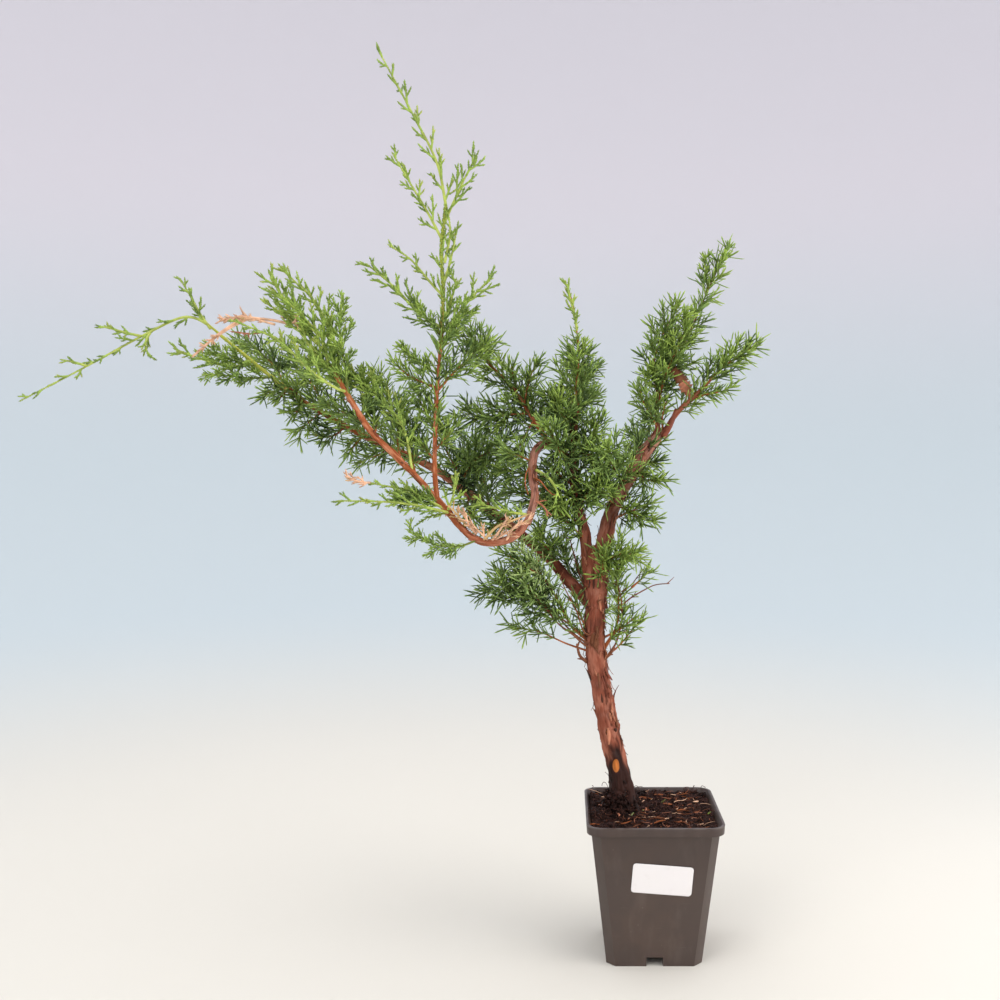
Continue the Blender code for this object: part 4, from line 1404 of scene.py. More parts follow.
@dataclass
class Growth:
    """One mass's shoots and leaves, grown by the source's rule and carried to finer twigs.

    Attributes:
        mass: The mass.
        own: The middle line of its stem.
        girth: How far from that line its twigs start.
        others: Points on the other masses' stems.
        limbs: Points on every limb's middle line, each with the limb's radius there.
        chance: The source of random numbers.
        slack: How far twigs may reach past the middle between two stems.
        clearance: How far they stay from the limbs.
        joints: The number of points on a twig.
        shortest: The length of the shortest twig.
        shoots: What has grown.
    """

    mass: Mass
    own: np.ndarray
    girth: float
    others: np.ndarray
    limbs: np.ndarray
    chance: random.Random
    slack: float = 7 * MM
    clearance: float = 0.6 * MM
    joints: int = 7
    shortest: float = 2.2 * MM
    shoots: list[Shoot] = field(default_factory=list)

    def open_to(self, places: np.ndarray) -> np.ndarray:
        """Which places have room, between the other stems and clear of the limbs.

        Args:
            places: The places.

        Returns:
            Whether each has room.
        """
        mine, others, limbs = (np.linalg.norm(places[:, None] - points, axis=2)
                               for points in (self.own, self.others, self.limbs[:, :3]))
        clear = (limbs - self.limbs[:, 3]).min(1) > self.clearance
        return ((others.min(1) - mine.min(1)) / 2 > -self.slack) & clear

    def grow(self) -> None:
        """Grow the stem, the twigs and the twiglets."""
        mass, habit, chance = self.mass, self.mass.habit, self.chance
        stem_radius, twig_radius, finest = (radius * MM for radius in habit.radii)
        stem = respace(self.own, 2 * MM)
        # Partly painted light and shade: masses outside and on top of the crown are set lighter, those inside darker.
        middle = 0.5 * (len(habit.tones) - 1) + mass.light
        small = tuple(min(1.0, max(0.3, 1.3 * reach / habit.leaf[0])) for reach in mass.reach)
        if self.girth < 2 * MM:
            self.shoots.append(Shoot(stem, (stem_radius, 0.5 * twig_radius), -1 if self.girth else 0, middle + 0.6,
                                     mass.bare, self.girth, small))
        for line, share in self.branches(stem, self.twig_plan(stem), self.girth):
            # Twigs further along the stem are lighter: partly young growth, partly painted light on the crown's
            # outside.
            tone = middle + chance.gauss(0.0, 0.75) + 0.5 * (share - 0.5)
            self.shoots.append(Shoot(line, (twig_radius, 0.55 * finest), 1, tone, 0.12))
            for finer, _ in self.branches(line, self.twiglet_plan(line)):
                self.shoots.append(Shoot(finer, (finest, 0.6 * finest), 2, tone + chance.gauss(0.1, 0.4), 0.1))

    def twig_plan(self, stem: np.ndarray) -> list[Triple]:
        """Where the side twigs leave the stem.

        Args:
            stem: The stem's middle line.

        Returns:
            The share of the stem, the length and the lean of each.
        """
        habit, mass, plan = self.mass.habit, self.mass, []
        lean = math.radians(habit.lean)
        count = max(2, int(habit.fill * lengths_along(stem)[-1] * (1 - mass.bare) / (mass.spacing * MM)))
        for k in range(count):
            share = mass.bare + (1 - mass.bare) * (k + 0.4) / count
            reach = float(np.interp(share, np.linspace(0, 1, len(mass.reach)), mass.reach)) * MM
            run = (reach - 0.55 * habit.leaf[0] * MM * math.sin(math.radians(habit.leaf_lean))) / math.sin(lean)
            if run > 2.5 * MM:
                plan.append((share, run * self.chance.uniform(0.7, 1.1), lean * self.chance.uniform(0.85, 1.15)))
        return plan

    def twiglet_plan(self, line: np.ndarray) -> list[Triple]:
        """Where the twiglets leave a twig.

        Args:
            line: The twig's middle line.

        Returns:
            The share of the twig, the length and the lean of each.
        """
        habit, length, plan = self.mass.habit, lengths_along(line)[-1], []
        for k in range(int(length / (habit.twiglet_step * MM))):
            stop = (k + 0.55) * habit.twiglet_step * MM
            run = (habit.twiglet_share * (length - stop) + 1.5 * MM) * self.chance.uniform(0.75, 1.2)
            if stop > 0.12 * length and run > self.shortest:
                plan.append((stop / length, run, math.radians(habit.twiglet_lean) * self.chance.uniform(0.85, 1.15)))
        return plan

    def branches(self, line: np.ndarray, plan: list[Triple], girth: float = 0.0) -> Iterator[tuple[np.ndarray, float]]:
        """The side shoots of a line, cut short where they have no room.

        Args:
            line: The line that they leave.
            plan: The share, length and lean of each.
            girth: How far from the line they start.

        Yields:
            Each side shoot's middle line and the share of the line where it starts.
        """
        if not plan:
            return
        tangents, sides, fronts = carried_frames(line)
        length, turn = lengths_along(line)[-1], self.chance.uniform(0, math.tau)
        steps, lines = np.linspace(0, 1, self.joints)[:, None], []
        for share, run, lean in plan:
            base = points_at(line, np.array([share * length]))[0]
            ring = int(share * (len(line) - 1))
            turn += GOLDEN_TURN
            out = spoke(turn, sides[ring], fronts[ring])
            bend = 0.12 * steps ** 2 * (tangents[ring] - out / 2) + 0.05 * steps ** 2 * np.array((0, 0, 1))
            lines.append(base + 0.8 * girth * out + run * (steps * spoke(lean, tangents[ring], out) + bend))
        free = self.open_to(np.concatenate(lines)).reshape(len(lines), self.joints)
        for (share, run, _), candidate, room in zip(plan, lines, free):
            room[:2] = True
            kept = self.joints if room.all() else int(np.argmin(room))
            if run * (kept - 1) / (self.joints - 1) >= self.shortest:
                yield candidate[:kept], share

    def twigs(self, pile: Pile) -> None:
        """Add the woody parts.

        Args:
            pile: Where they are added.
        """
        for shoot in self.shoots:
            if shoot.level >= 0:
                line = respace(shoot.line, 2.4 * MM)
                pile.add_tube(line, np.linspace(*shoot.radii, len(line)), 5 if shoot.level < 2 else 4,
                              self.mass.habit.wood[shoot.level])

    def leaves(self, pile: Pile) -> None:
        """Add the whorls of leaves.

        Args:
            pile: Where they are added.
        """
        habit, top = self.mass.habit, len(self.mass.habit.tones) - 1
        tones = np.array([TONES[tone] for tone in habit.tones])
        for shoot in self.shoots:
            length = lengths_along(shoot.line)[-1]
            count = max(1, int(length * (1 - shoot.bare) / (habit.whorl_step * MM)))
            shares = shoot.bare + (1 - shoot.bare) * (np.arange(count) + 0.7) / count
            rings = np.minimum((shares * (len(shoot.line) - 1)).astype(int), len(shoot.line) - 1)
            tangents, sides, fronts = (part[rings][:, None] for part in carried_frames(shoot.line))
            turns = self.chance.uniform(0, math.tau) + np.arange(count) * (math.pi / habit.whorl + 0.12)
            turns = (turns[:, None] + np.arange(habit.whorl) * math.tau / habit.whorl)[..., None]
            out = np.cos(turns) * sides + np.sin(turns) * fronts
            wild = np.array([self.chance.random() for _ in range(2 * turns.size)]).reshape(2, count, habit.whorl)
            fade = shares[:, None] ** 5
            lean = (np.radians(habit.leaf_lean) * (1 - 0.6 * fade) * (0.75 + 0.5 * wild[0]))[..., None]
            along = units(np.cos(lean) * tangents + np.sin(lean) * out + np.array((0, 0, 0.06)))
            size = habit.leaf[0] * MM * (0.7 + 0.4 * wild[1]) * (1 - 0.4 * fade)
            size = size * np.interp(shares, np.linspace(0, 1, len(shoot.small)), shoot.small)[:, None]
            width = habit.leaf[1] * MM * (0.85 + 0.3 * wild[0])
            foot = points_at(shoot.line, shares * length)[:, None] + shoot.girth * out
            # Leaves are lighter towards each shoot's tip: partly young growth, partly painted light on the outer
            # leaves.
            tone = np.clip(np.round(shoot.tone + 0.7 * (shares - 0.5)), 0, top).astype(int).repeat(habit.whorl)
            dealt = tones[tone][:, None].repeat(len(Pile.scale if habit.scaly else Pile.needle), 1)
            if not habit.scaly:
                dealt[:, -3:] = tones[np.minimum(tone + 1, top)][:, None]
            pile.add_leaves(foot.reshape(-1, 3), along.reshape(-1, 3), out.reshape(-1, 3), size.ravel(), width.ravel(),
                            habit.curl, habit.scaly, dealt.ravel())


@dataclass(frozen=True)
class Patch:
    """A part of the crown whose foliage is joined, each kind apart.

    Attributes:
        name: Its name.
        masses: The foliage of each solid that it stands for.
        extras: Further sprays and fringes between those masses.
    """

    name: str
    masses: dict[str, Mass]
    extras: tuple[Mass, ...] = ()


PATCHES = (
    Patch("right", {
        "right_front": Mass(NEEDLE, (20, 18), (-18, 8, 328, -26, -10, 338, -34, -22, 350), 6, -0.1),
        "right_side": Mass(NEEDLE, (14, 11), (-12, 8, 339, -3, 4, 331, 5, 0, 333), 7, -0.1),
        "right_low": Mass(NEEDLE, (13, 11), (-25, 5, 313, -18, 0, 311, -9, -4, 305, -1, -8, 303), 7),
        "right_back": Mass(NEEDLE, (22, 19), (-13, 8, 338, -7, 34, 344, -4, 56, 363), 8),
        "top_right_tip": Mass(NEEDLE, (19, 17, 14, 8), (8, 16, 402, 23, 16, 427, 34, 14, 452, 42, 12, 471, 54, 10, 496),
            13, 0.4, 0.0),
        "top_right_left": Mass(NEEDLE, (19, 14), (5, 14, 389, 1, 9, 410, 6, 3, 431, 16, -1, 450), 8, 0.5),
        "right_tip": Mass(PLUME, (17, 15, 8), (36, -5, 397, 46, -7, 408, 58, -9, 417, 71, -10, 426), 5, 0.4, 0.0),
    }, (
        Mass(NEEDLE, (17, 15, 10), (4, 13, 384, 10, 4, 407, 19, 0, 428, 26, 0, 448), 9, 0.3),
        Mass(NEEDLE, (16, 12), (7, 15, 398, 14, 13, 414, 11, 10, 437), 9),
        Mass(NEEDLE, (15, 13), (-25, 3, 314, -32, -10, 319, -37, -16, 329, -39, -20, 339), 8),
        Mass(NEEDLE, (8, 7), (8, 10, 366, 7, 4, 376, 10, 2, 388), 8),
        Mass(NEEDLE, (13, 12), (-27, 4, 304, -17, -3, 309, -8, -6, 313, -4, -8, 315), 7),
        Mass(NEEDLE, (14, 12), (5, 10, 366, 0, 4, 375, -7, 0, 387, -9, -2, 398), 8),
        Mass(NEEDLE, (10, 8), (28, -1, 389, 36, -6, 391, 47, -10, 393, 55, -12, 397), 9),
        Mass(SPRAY, (7, 6), (40, 13, 466, 38, 12, 477, 37, 10, 487), 4, 0.5),
        Mass(SPRAY, (6, 4), (42, 12, 471, 48, 11, 484, 54, 10, 495), 4, 0.6, 0.3),
        Fringe(NEEDLE, (14, 14), ("right_leader", 0.55, 0.97), 9, -0.2),
        Fringe(NEEDLE, (17, 17), ("top_right_bough", 0.25, 1), 8, 0.1),
        Fringe(NEEDLE, (11, 15), ("right_bough", 0.45, 1), 8, 0.1),
    )),
    Patch("spire", {
        "spire": Mass(NEEDLE, (22, 20, 12, 2, 2, 2), (-54, 6, 388, -52, 4, 422, -56, 0, 454, -61, -3, 469), 8, 0.6,
            0.0),
        "spire_left": Mass(NEEDLE, (17, 14), (-55, 8, 360, -64, 2, 372, -69, -8, 389), 6, -0.1),
        "spire_right": Mass(NEEDLE, (16, 10), (-55, 8, 344, -44, 0, 359, -36, -6, 375), 6, 0.2),
        "spire_back": Mass(NEEDLE, (22, 18), (-54, 8, 370, -52, 30, 386, -50, 48, 412), 7),
        "centre_low": Mass(NEEDLE, (18, 16), (-54, 7, 322, -61, -6, 320, -67, -16, 321), 6, -0.2),
        "low_right": Mass(NEEDLE, (4, 6, 14, 15), (-38, 0, 208, -25, -4, 230, -24, -6, 250, -25, -8, 268, -20, -10,
            281), 7, 0.5, 0.35),
        "low_right_under": Mass(NEEDLE, (7, 10), (-38, 0, 203, -24, 5, 213, -14, 8, 224, -7, 8, 233), 14, 0.3, 0.4),
    }, (
        Mass(NEEDLE, (15, 13), (-56, 6, 338, -61, -10, 348, -68, -22, 359, -74, -30, 369), 7, bare=0.2),
        Mass(NEEDLE, (15, 14), (-53, 3, 314, -46, -10, 320, -40, -18, 331), 7, -0.2),
        Mass(CORD, (7, 5), (-53, 2, 436, -55, 1, 447, -58, -1, 458, -61, -3, 469), 5, 0.5),
        Mass(NEEDLE, (14, 13), (-54, 6, 350, -50, -6, 350, -44, -14, 349, -37, -18, 350), 7, -0.1),
        Mass(NEEDLE, (14, 13), (-52, 5, 320, -47, -8, 322, -40, -15, 323, -33, -18, 326), 7, -0.2),
        Mass(NEEDLE, (13, 12), (-55, 7, 372, -60, -4, 374, -65, -12, 378), 7, -0.1),
        Mass(NEEDLE, (11, 11), (-70, -12, 357, -66, -20, 354, -64, -26, 346), 7, 0.1),
        Mass(NEEDLE, (15, 14), (-57, 6, 332, -72, 3, 333, -87, -2, 335, -101, -6, 339), 7, -0.2),
        Mass(NEEDLE, (14, 13), (-53, 5, 316, -70, 2, 316, -85, 0, 319, -100, -3, 325), 7, -0.4),
        Mass(NEEDLE, (13, 12), (-47, 1, 290, -53, -5, 296, -60, -9, 303, -66, -12, 309), 7, -0.2),
        Mass(NEEDLE, (13, 12), (-52, 6, 253, -57, 14, 264, -62, 18, 276, -65, 20, 288), 7, -0.8, 0.15),
        Mass(NEEDLE, (11, 10), (-44, 4, 246, -48, 10, 256, -50, 14, 268), 7, -0.8),
        Mass(NEEDLE, (11, 10), (-72, 14, 274, -76, 4, 286, -80, -4, 299), 7, -0.3),
        Mass(NEEDLE, (14, 13), (-37, -4, 268, -32, -11, 276, -24, -16, 281, -14, -18, 281), 6, 0.7, 0.15),
        Mass(NEEDLE, (12, 10), (-36, -4, 262, -35, -12, 272, -36, -16, 283), 7, 0.4),
        Mass(NEEDLE, (12, 11), (-56, 6, 328, -63, -6, 333, -70, -14, 341), 8, -0.2, 0.2),
        Mass(NEEDLE, (13, 12), (-49, 2, 300, -58, -8, 306, -68, -14, 310, -77, -18, 316), 8),
        Mass(NEEDLE, (9, 8), (-34, -2, 212, -28, -4, 222, -22, -5, 232, -20, -6, 242), 8, 0.1, 0.2),
        Mass(NEEDLE, (10, 9), (-15, -8, 257, -8, -9, 263, -3, -9, 268), 6, 0.5, 0.2),
        Mass(NEEDLE, (9, 9), (-33, 0, 221, -22, -6, 228, -13, -8, 236), 9, 0.2),
        Fringe(NEEDLE, (15, 18), ("left_leader", 0.4, 1), 8, -0.4),
    )),
    Patch("middle", {
        "mid_left_tip": Mass(NEEDLE, (18, 14), (-112, -8, 410, -121, -12, 421, -127, -18, 431), 7, 0.1, 0.0),
        "mid_left_up": Mass(NEEDLE, (18, 9), (-90, -2, 384, -86, -9, 400, -81, -13, 413), 7),
        "mid_left_low": Mass(NEEDLE, (20, 13), (-86, 0, 378, -101, -6, 377, -117, -12, 374, -129, -18, 379), 6),
        "shoot_left_low": Mass(NEEDLE, (15, 8), (-145, -42, 393, -155, -44, 397, -165, -46, 402, -174, -48, 410), 8,
            0.3),
        "shoot_right_low": Mass(NEEDLE, (18, 11), (-145, -42, 392, -134, -38, 405, -121, -32, 417, -109, -28, 425), 8,
            0.3),
        "back_inner": Mass(NEEDLE, (20, 18), (-136, 24, 325, -131, 11, 338, -119, 3, 349, -105, -2, 352), 7, -0.3),
        "back_far": Mass(NEEDLE, (24, 20), (-116, 24, 309, -121, 44, 328, -134, 62, 354), 8),
    }, (
        Mass(NEEDLE, (14, 12), (-82, -24, 344, -91, -28, 348, -102, -30, 351), 8, -0.1),
        Mass(NEEDLE, (14, 12), (-68, 12, 272, -73, 0, 283, -80, -8, 290), 8, -0.2),
        Mass(NEEDLE, (13, 11), (-76, 16, 278, -84, 8, 270, -94, 2, 265), 8, -0.2),
        Mass(NEEDLE, (15, 13), (-130, 22, 320, -130, 8, 311, -124, -4, 302), 7, -0.1),
        Mass(NEEDLE, (13, 12), (-107, 22, 304, -110, 8, 300, -114, 0, 296), 8, -0.2),
        Mass(NEEDLE, (11, 8), (-95, -5, 394, -97, -9, 403, -98, -12, 411), 8),
        Mass(NEEDLE, (14, 13), (-75, -12, 360, -78, -2, 368, -84, 6, 378, -90, 10, 388), 6, -0.1),
        Mass(NEEDLE, (13, 12), (-83, -2, 373, -87, -8, 366, -91, -10, 358, -96, -10, 350), 7, -0.2),
        Mass(NEEDLE, (12, 10), (-147, -43, 365, -152, -38, 374, -157, -36, 383, -159, -34, 393), 6, 0.1),
        Mass(NEEDLE, (12, 11), (-134, 12, 334, -141, 4, 345, -145, 0, 356, -146, -4, 366), 8, -0.2),
        Mass(NEEDLE, (12, 12), (-147, -44, 344, -152, -40, 351, -159, -36, 359), 8),
        Mass(NEEDLE, (12, 12), (-147, -44, 352, -141, -40, 360, -134, -36, 368), 8),
        Fringe(NEEDLE, (15, 15), ("mid_bough", 0.28, 1), 8, 0.1),
        Fringe(NEEDLE, (14, 14), ("back_bough", 0.22, 0.5), 11, -0.4),
        Fringe(NEEDLE, (11, 10), ("shoot", 0.2, 0.62), light=0.3),
    )),
    Patch("left", {
        "left_low_inner": Mass(SPRAY, (13, 8), (-266, -1, 403, -279, -10, 402, -291, -18, 403, -304, -24, 403),
            light=0.2),
        "left_far": Mass(NEEDLE, (18, 12), (-257, 0, 397, -267, 14, 411, -284, 28, 425, -301, 40, 431)),
        "under_outer": Mass(NEEDLE, (15, 9), (-245, 2, 387, -246, -6, 379, -251, -12, 380)),
        "under_inner": Mass(NEEDLE, (16, 10), (-216, 6, 369, -224, 0, 362, -236, -6, 363), light=-0.1),
        "over_outer": Mass(NEEDLE, (20, 15), (-233, 4, 380, -237, 14, 393, -250, 24, 408, -261, 32, 419)),
        "over_inner": Mass(NEEDLE, (22, 9), (-179, 14, 351, -182, 26, 369, -191, 36, 392, -203, 44, 410), 8),
        "front_crown_right": Mass(SPRAY, (15, 12, 6), (-204, -44, 388, -206, -46, 408, -209, -47, 432, -207, -46, 453),
            light=0.3, bare=0.15),
        "front_low_tuft": Mass(SPRAY, (13, 8), (-119, -45, 293, -132, -51, 289, -147, -55, 291, -162, -57, 299),
            light=0.1, bare=0.15),
    }, (
        Mass(SPRAY, (12, 9), (-274, -2, 410, -286, -8, 413, -296, -12, 416, -303, -14, 418), 6, 0.4),
        Mass(SPRAY, (7, 5), (-143, -41, 427, -149, -43, 435, -155, -45, 443, -160, -46, 452), 4, 0.3),
        Mass(SPRAY, (8, 5), (-145, -41, 402, -153, -43, 407, -161, -45, 413, -169, -47, 420), 4, 0.3),
        Mass(NEEDLE, (11, 10), (-187, -45, 363, -187, -36, 368, -190, -30, 375, -193, -28, 383), 6),
        Mass(SPRAY, (9, 7), (-143, -46, 318, -152, -50, 321, -162, -53, 321, -171, -54, 321), 4, -0.1),
        Mass(SPRAY, (4, 2), (-139, -46, 311, -146, -50, 310, -152, -52, 308, -159, -53, 303), 5, -0.2),
        Mass(NEEDLE, (13, 11), (-232, 4, 379, -240, -4, 371, -246, -8, 365), 7),
        Mass(NEEDLE, (11, 9), (-204, 8, 363, -208, 0, 356, -212, -4, 350), 7),
        Mass(NEEDLE, (10, 8), (-255, 0, 395, -257, -6, 390, -260, -9, 387), 7),
        Mass(NEEDLE, (12, 10), (-188, 12, 356, -190, 6, 350, -198, 2, 347, -206, 0, 343), 7),
        Mass(NEEDLE, (13, 12), (-160, -46, 336, -163, -38, 348, -164, -34, 363), 8, 0.1),
        Mass(NEEDLE, (13, 12), (-170, -46, 346, -173, -36, 362, -171, -32, 380), 8, 0.1),
        Mass(NEEDLE, (14, 12), (-189, -45, 366, -200, -34, 373, -213, -26, 379, -224, -20, 385), 8),
        Mass(NEEDLE, (13, 11), (-246, 0, 389, -251, -10, 395, -259, -14, 393, -266, -16, 392), 9),
        Mass(SPRAY, (12, 11), (-202, -44, 385, -207, -34, 395, -215, -28, 405, -226, -26, 413), 4, 0.3),
        Mass(SPRAY, (11, 10), (-196, -45, 375, -193, -34, 384, -193, -30, 392, -197, -28, 400), 4, 0.2),
        Fringe(SPRAY, (9, 13), ("front_bough_rise", 0.94, 1), 7, 0.3),
        Fringe(NEEDLE, (15, 11), ("back_bough", 0.5, 0.8), 9, 0.2),
    )),
    Patch("low", {
        "low_left": Mass(NEEDLE, (12, 24), (-41, 0, 217, -65, -8, 236, -87, -14, 252, -101, -18, 259), 5, -0.5, 0.35),
        "low_left_under": Mass(NEEDLE, (5, 13), (-39, 0, 209, -60, -5, 217, -79, -9, 226, -96, -12, 229), 9, -0.3, 0.5),
        "low_back": Mass(BLUE, (14, 22), (-39, 0, 217, -36, 24, 233, -38, 44, 256), bare=0.3),
    }, (
        Mass(NEEDLE, (9, 9), (-45, -2, 218, -57, -8, 230, -65, -12, 246), 9, -0.2),
        Mass(NEEDLE, (9, 8), (-46, -2, 226, -51, -5, 238, -55, -7, 250), 8, -0.4),
        Mass(NEEDLE, (10, 9), (-78, -18, 266, -88, -22, 273, -97, -24, 279, -104, -25, 284), 5, -0.2),
        Mass(BLUE, (11, 11), (-74, -10, 243, -83, -20, 254, -92, -26, 266), 4, 0.2),
        Mass(BLUE, (12, 12), (-60, -7, 236, -72, -14, 258, -84, -22, 275, -94, -26, 288), 6, 0.4, 0.2),
    )),
    Patch("whip", {
        "whip": Mass(CORD, (10, 4), (-308, -7, 439, -315, -8, 443, -323, -8, 444, -332, -9, 441, -345, -11, 434, -360,
            -12, 426, -394, -14, 407, -434, -16, 386), 13, -0.9, 0.0),
        "whip_side": Mass(CORD, (7, 4), (-306, -7, 436, -313, -6, 446, -320, -4, 458, -328, -2, 471), 5, -0.8),
        "left_low_outer": Mass(CORD, (12, 6), (-280, -3, 415, -288, -10, 410, -302, -16, 412, -326, -22, 421), 5, -0.5),
    }, (
        Mass(CORD, (5, 3), (-352, -12, 430.5, -361, -13, 432.5, -370, -14, 435, -379, -15, 437), 5),
        Mass(CORD, (6, 4), (-346, -11, 433, -349, -12, 427, -348, -13, 421, -347, -13, 417), 4),
        Mass(CORD, (4, 3), (-389, -14, 410, -397, -15, 412.5, -405, -16, 414), 5),
    )),
    Patch("front", {
        "front_crown_left": Mass(CORD, (17, 8), (-217, -42, 408, -221, -46, 426, -234, -52, 441, -244, -56, 452, -251,
            -58, 463), 4, bare=0.05),
        "front_crown_top": Mass(CORD, (16, 6), (-211, -43, 399, -213, -36, 419, -226, -31, 448, -239, -28, 462, -252,
            -26, 474), 5, 0.2, 0.15),
        "front_crown_low": Mass(CORD, (14, 12, 5, 2), (-206, -44, 391, -211, -55, 393, -226, -60, 404, -246, -61, 423,
            -276, -62, 436), 5, -0.2, 0.15),
        "front_inner": Mass(CORD, (16, 10), (-162, -46, 338, -168, -40, 366, -184, -35, 387, -201, -32, 400), 4,
            bare=0.25),
        "front_low_green": Mass(CORD, (12, 10, 4, 6), (-138, -46, 311, -143, -55, 313, -160, -60, 317, -177, -64, 319,
            -206, -70, 320), 6, -0.5),
    }, (
        Mass(CORD, (10, 8), (-139, -46, 312, -135, -52, 321, -132, -54, 332), 6),
        Mass(CORD, (8, 8, 4, 2), (-145, -46, 319, -157, -46, 324, -169, -48, 327, -180, -50, 329, -189, -50, 331), 5,
            -0.3),
        Mass(CORD, (14, 8), (-215, -43, 403, -229, -48, 421, -238, -50, 439, -246, -52, 453), 4),
        Mass(CORD, (8, 5), (-224, -46, 422, -236, -48, 434, -248, -50, 443, -258, -51, 449), 5, 0.3),
        Mass(CORD, (8, 6), (-85, -37, 309, -96, -41, 311, -107, -44, 314, -119, -46, 317), 4, -1.2),
        Mass(CORD, (7, 6), (-81, -28, 339, -75, -34, 336, -69, -38, 330, -65, -40, 321), 7, -0.5, 0.2),
        Mass(CORD, (7, 5), (-140, -46, 313, -150, -50, 319, -162, -53, 324, -172, -54, 326), 5, -0.5),
        Fringe(CORD, (9, 13), ("front_bough_rise", 0.92, 1), 8),
    )),
    Patch("shoot", {
        "shoot_top": Mass(CORD, (12, 5), (-140, -38, 514, -146, -38, 542, -163, -36, 576, -184, -34, 615), 9, 0.1, 0.0),
        "shoot_right_high": Mass(CORD, (12, 9), (-142, -38, 500, -134, -37, 518, -128, -36, 531, -121, -34, 544), 6,
            -0.6, 0.15),
        "shoot_left_high": Mass(CORD, (10, 6), (-142, -38, 490, -152, -40, 509, -164, -42, 529, -174, -44, 546), 7),
        "shoot_left_mid": Mass(CORD, (8, 5), (-142, -38, 454, -152, -36, 465, -164, -34, 479, -179, -32, 489), 8),
        "shoot_left_long": Mass(CORD, (14, 6), (-143, -40, 433, -159, -44, 444, -172, -48, 458, -190, -52, 473), 5,
            -0.5),
        "shoot_right_mid": Mass(CORD, (13, 8), (-143, -40, 430, -133, -41, 440, -122, -41, 454, -111, -40, 464), 5,
            -0.7),
    }, (
        Mass(CORD, (8, 6), (-143, -39, 436, -138, -40, 446, -135, -41, 456, -133, -41, 465), 5, -0.6),
        Mass(SPRAY, (9, 7), (-144, -41, 420, -138, -41, 429, -131, -42, 437, -126, -42, 444), 4, 0.3),
        Mass(CORD, (6, 5), (-142, -38, 461, -138, -38, 474, -135, -37, 487, -133, -37, 498), 7, -0.7),
        Mass(CORD, (5, 4), (-141, -38, 476, -137, -40, 494, -138, -40, 507), 7, -0.5),
        Fringe(CORD, (8, 7, 4), ("shoot", 0.5, 1), 11),
    )),
    Patch("dry", {
        "front_low_dry": Mass(DRY, (5, 4), (-189, -50, 331, -192, -51, 331, -196, -52, 332, -202, -53, 334), 4),
    }, (
        Mass(DRY, (1.5, 3.5, 3.5), (-250, -52, 434, -262, -52, 437, -274, -53, 438, -285, -53, 437), 4, 0.4),
        Mass(DRY, (3, 3, 2), (-274, -53, 436, -287, -54, 427, -296, -54, 419, -303, -54, 413), 4, bare=0.4),
        Mass(DRY, (6, 4), (-112, -44, 292, -119, -48, 300, -125, -50, 306, -131, -51, 313), 9, 0.5),
        Mass(DRY, (5, 3), (-108, -44, 293, -98, -49, 299, -90, -50, 304, -83, -48, 308), light=0.7),
    )),
)


@dataclass
class Crown:
    """All the masses of foliage."""

    def build(self) -> None:
        """Grow the masses and join them patch by patch."""
        stems = {name: mass.stem()[0] for patch in PATCHES for name, mass in patch.masses.items()}
        curves = [smooth_curve(limb.route, 2.5 * MM) for limb in LIMBS]
        limbs = np.concatenate([np.column_stack([curve, np.linspace(*limb.radii, len(curve)) * MM])
                                for limb, curve in zip(LIMBS, curves)])
        for patch in PATCHES:
            leaves, wood = Pile(), Pile()
            habit = next(iter(patch.masses.values())).habit
            woody = habit in (NEEDLE, BLUE)
            grown = [*patch.masses.items(), *(("", extra) for extra in patch.extras)]
            for number, (own_name, mass) in enumerate(grown):
                others = np.concatenate([stem for name, stem in stems.items() if name != own_name])
                growth = Growth(mass, *mass.stem(), others, limbs, random.Random(f"{SEED} {patch.name} {number}"))
                growth.grow()
                growth.leaves(leaves)
                growth.twigs(wood if woody else leaves)
            dress(leaves.piece(f"{habit.slot}_{patch.name}"), habit.slot, *patch.masses)
            if woody:
                dress(wood.piece(f"twigs_{patch.name}"), "bark", *patch.masses)


@dataclass(frozen=True)
class DeadShoot:
    """A dead or dry shoot.

    Attributes:
        route: Its middle line.
        radii: Its radius at both ends, in mm.
        tone: Its tone.
        spurs: How many short dead spurs it bears.
        leafy: The share of it, from its tip, that bears dry scale leaves.
    """

    route: Route
    radii: tuple[float, float]
    tone: Tone
    spurs: int = 4
    leafy: float = 0.0


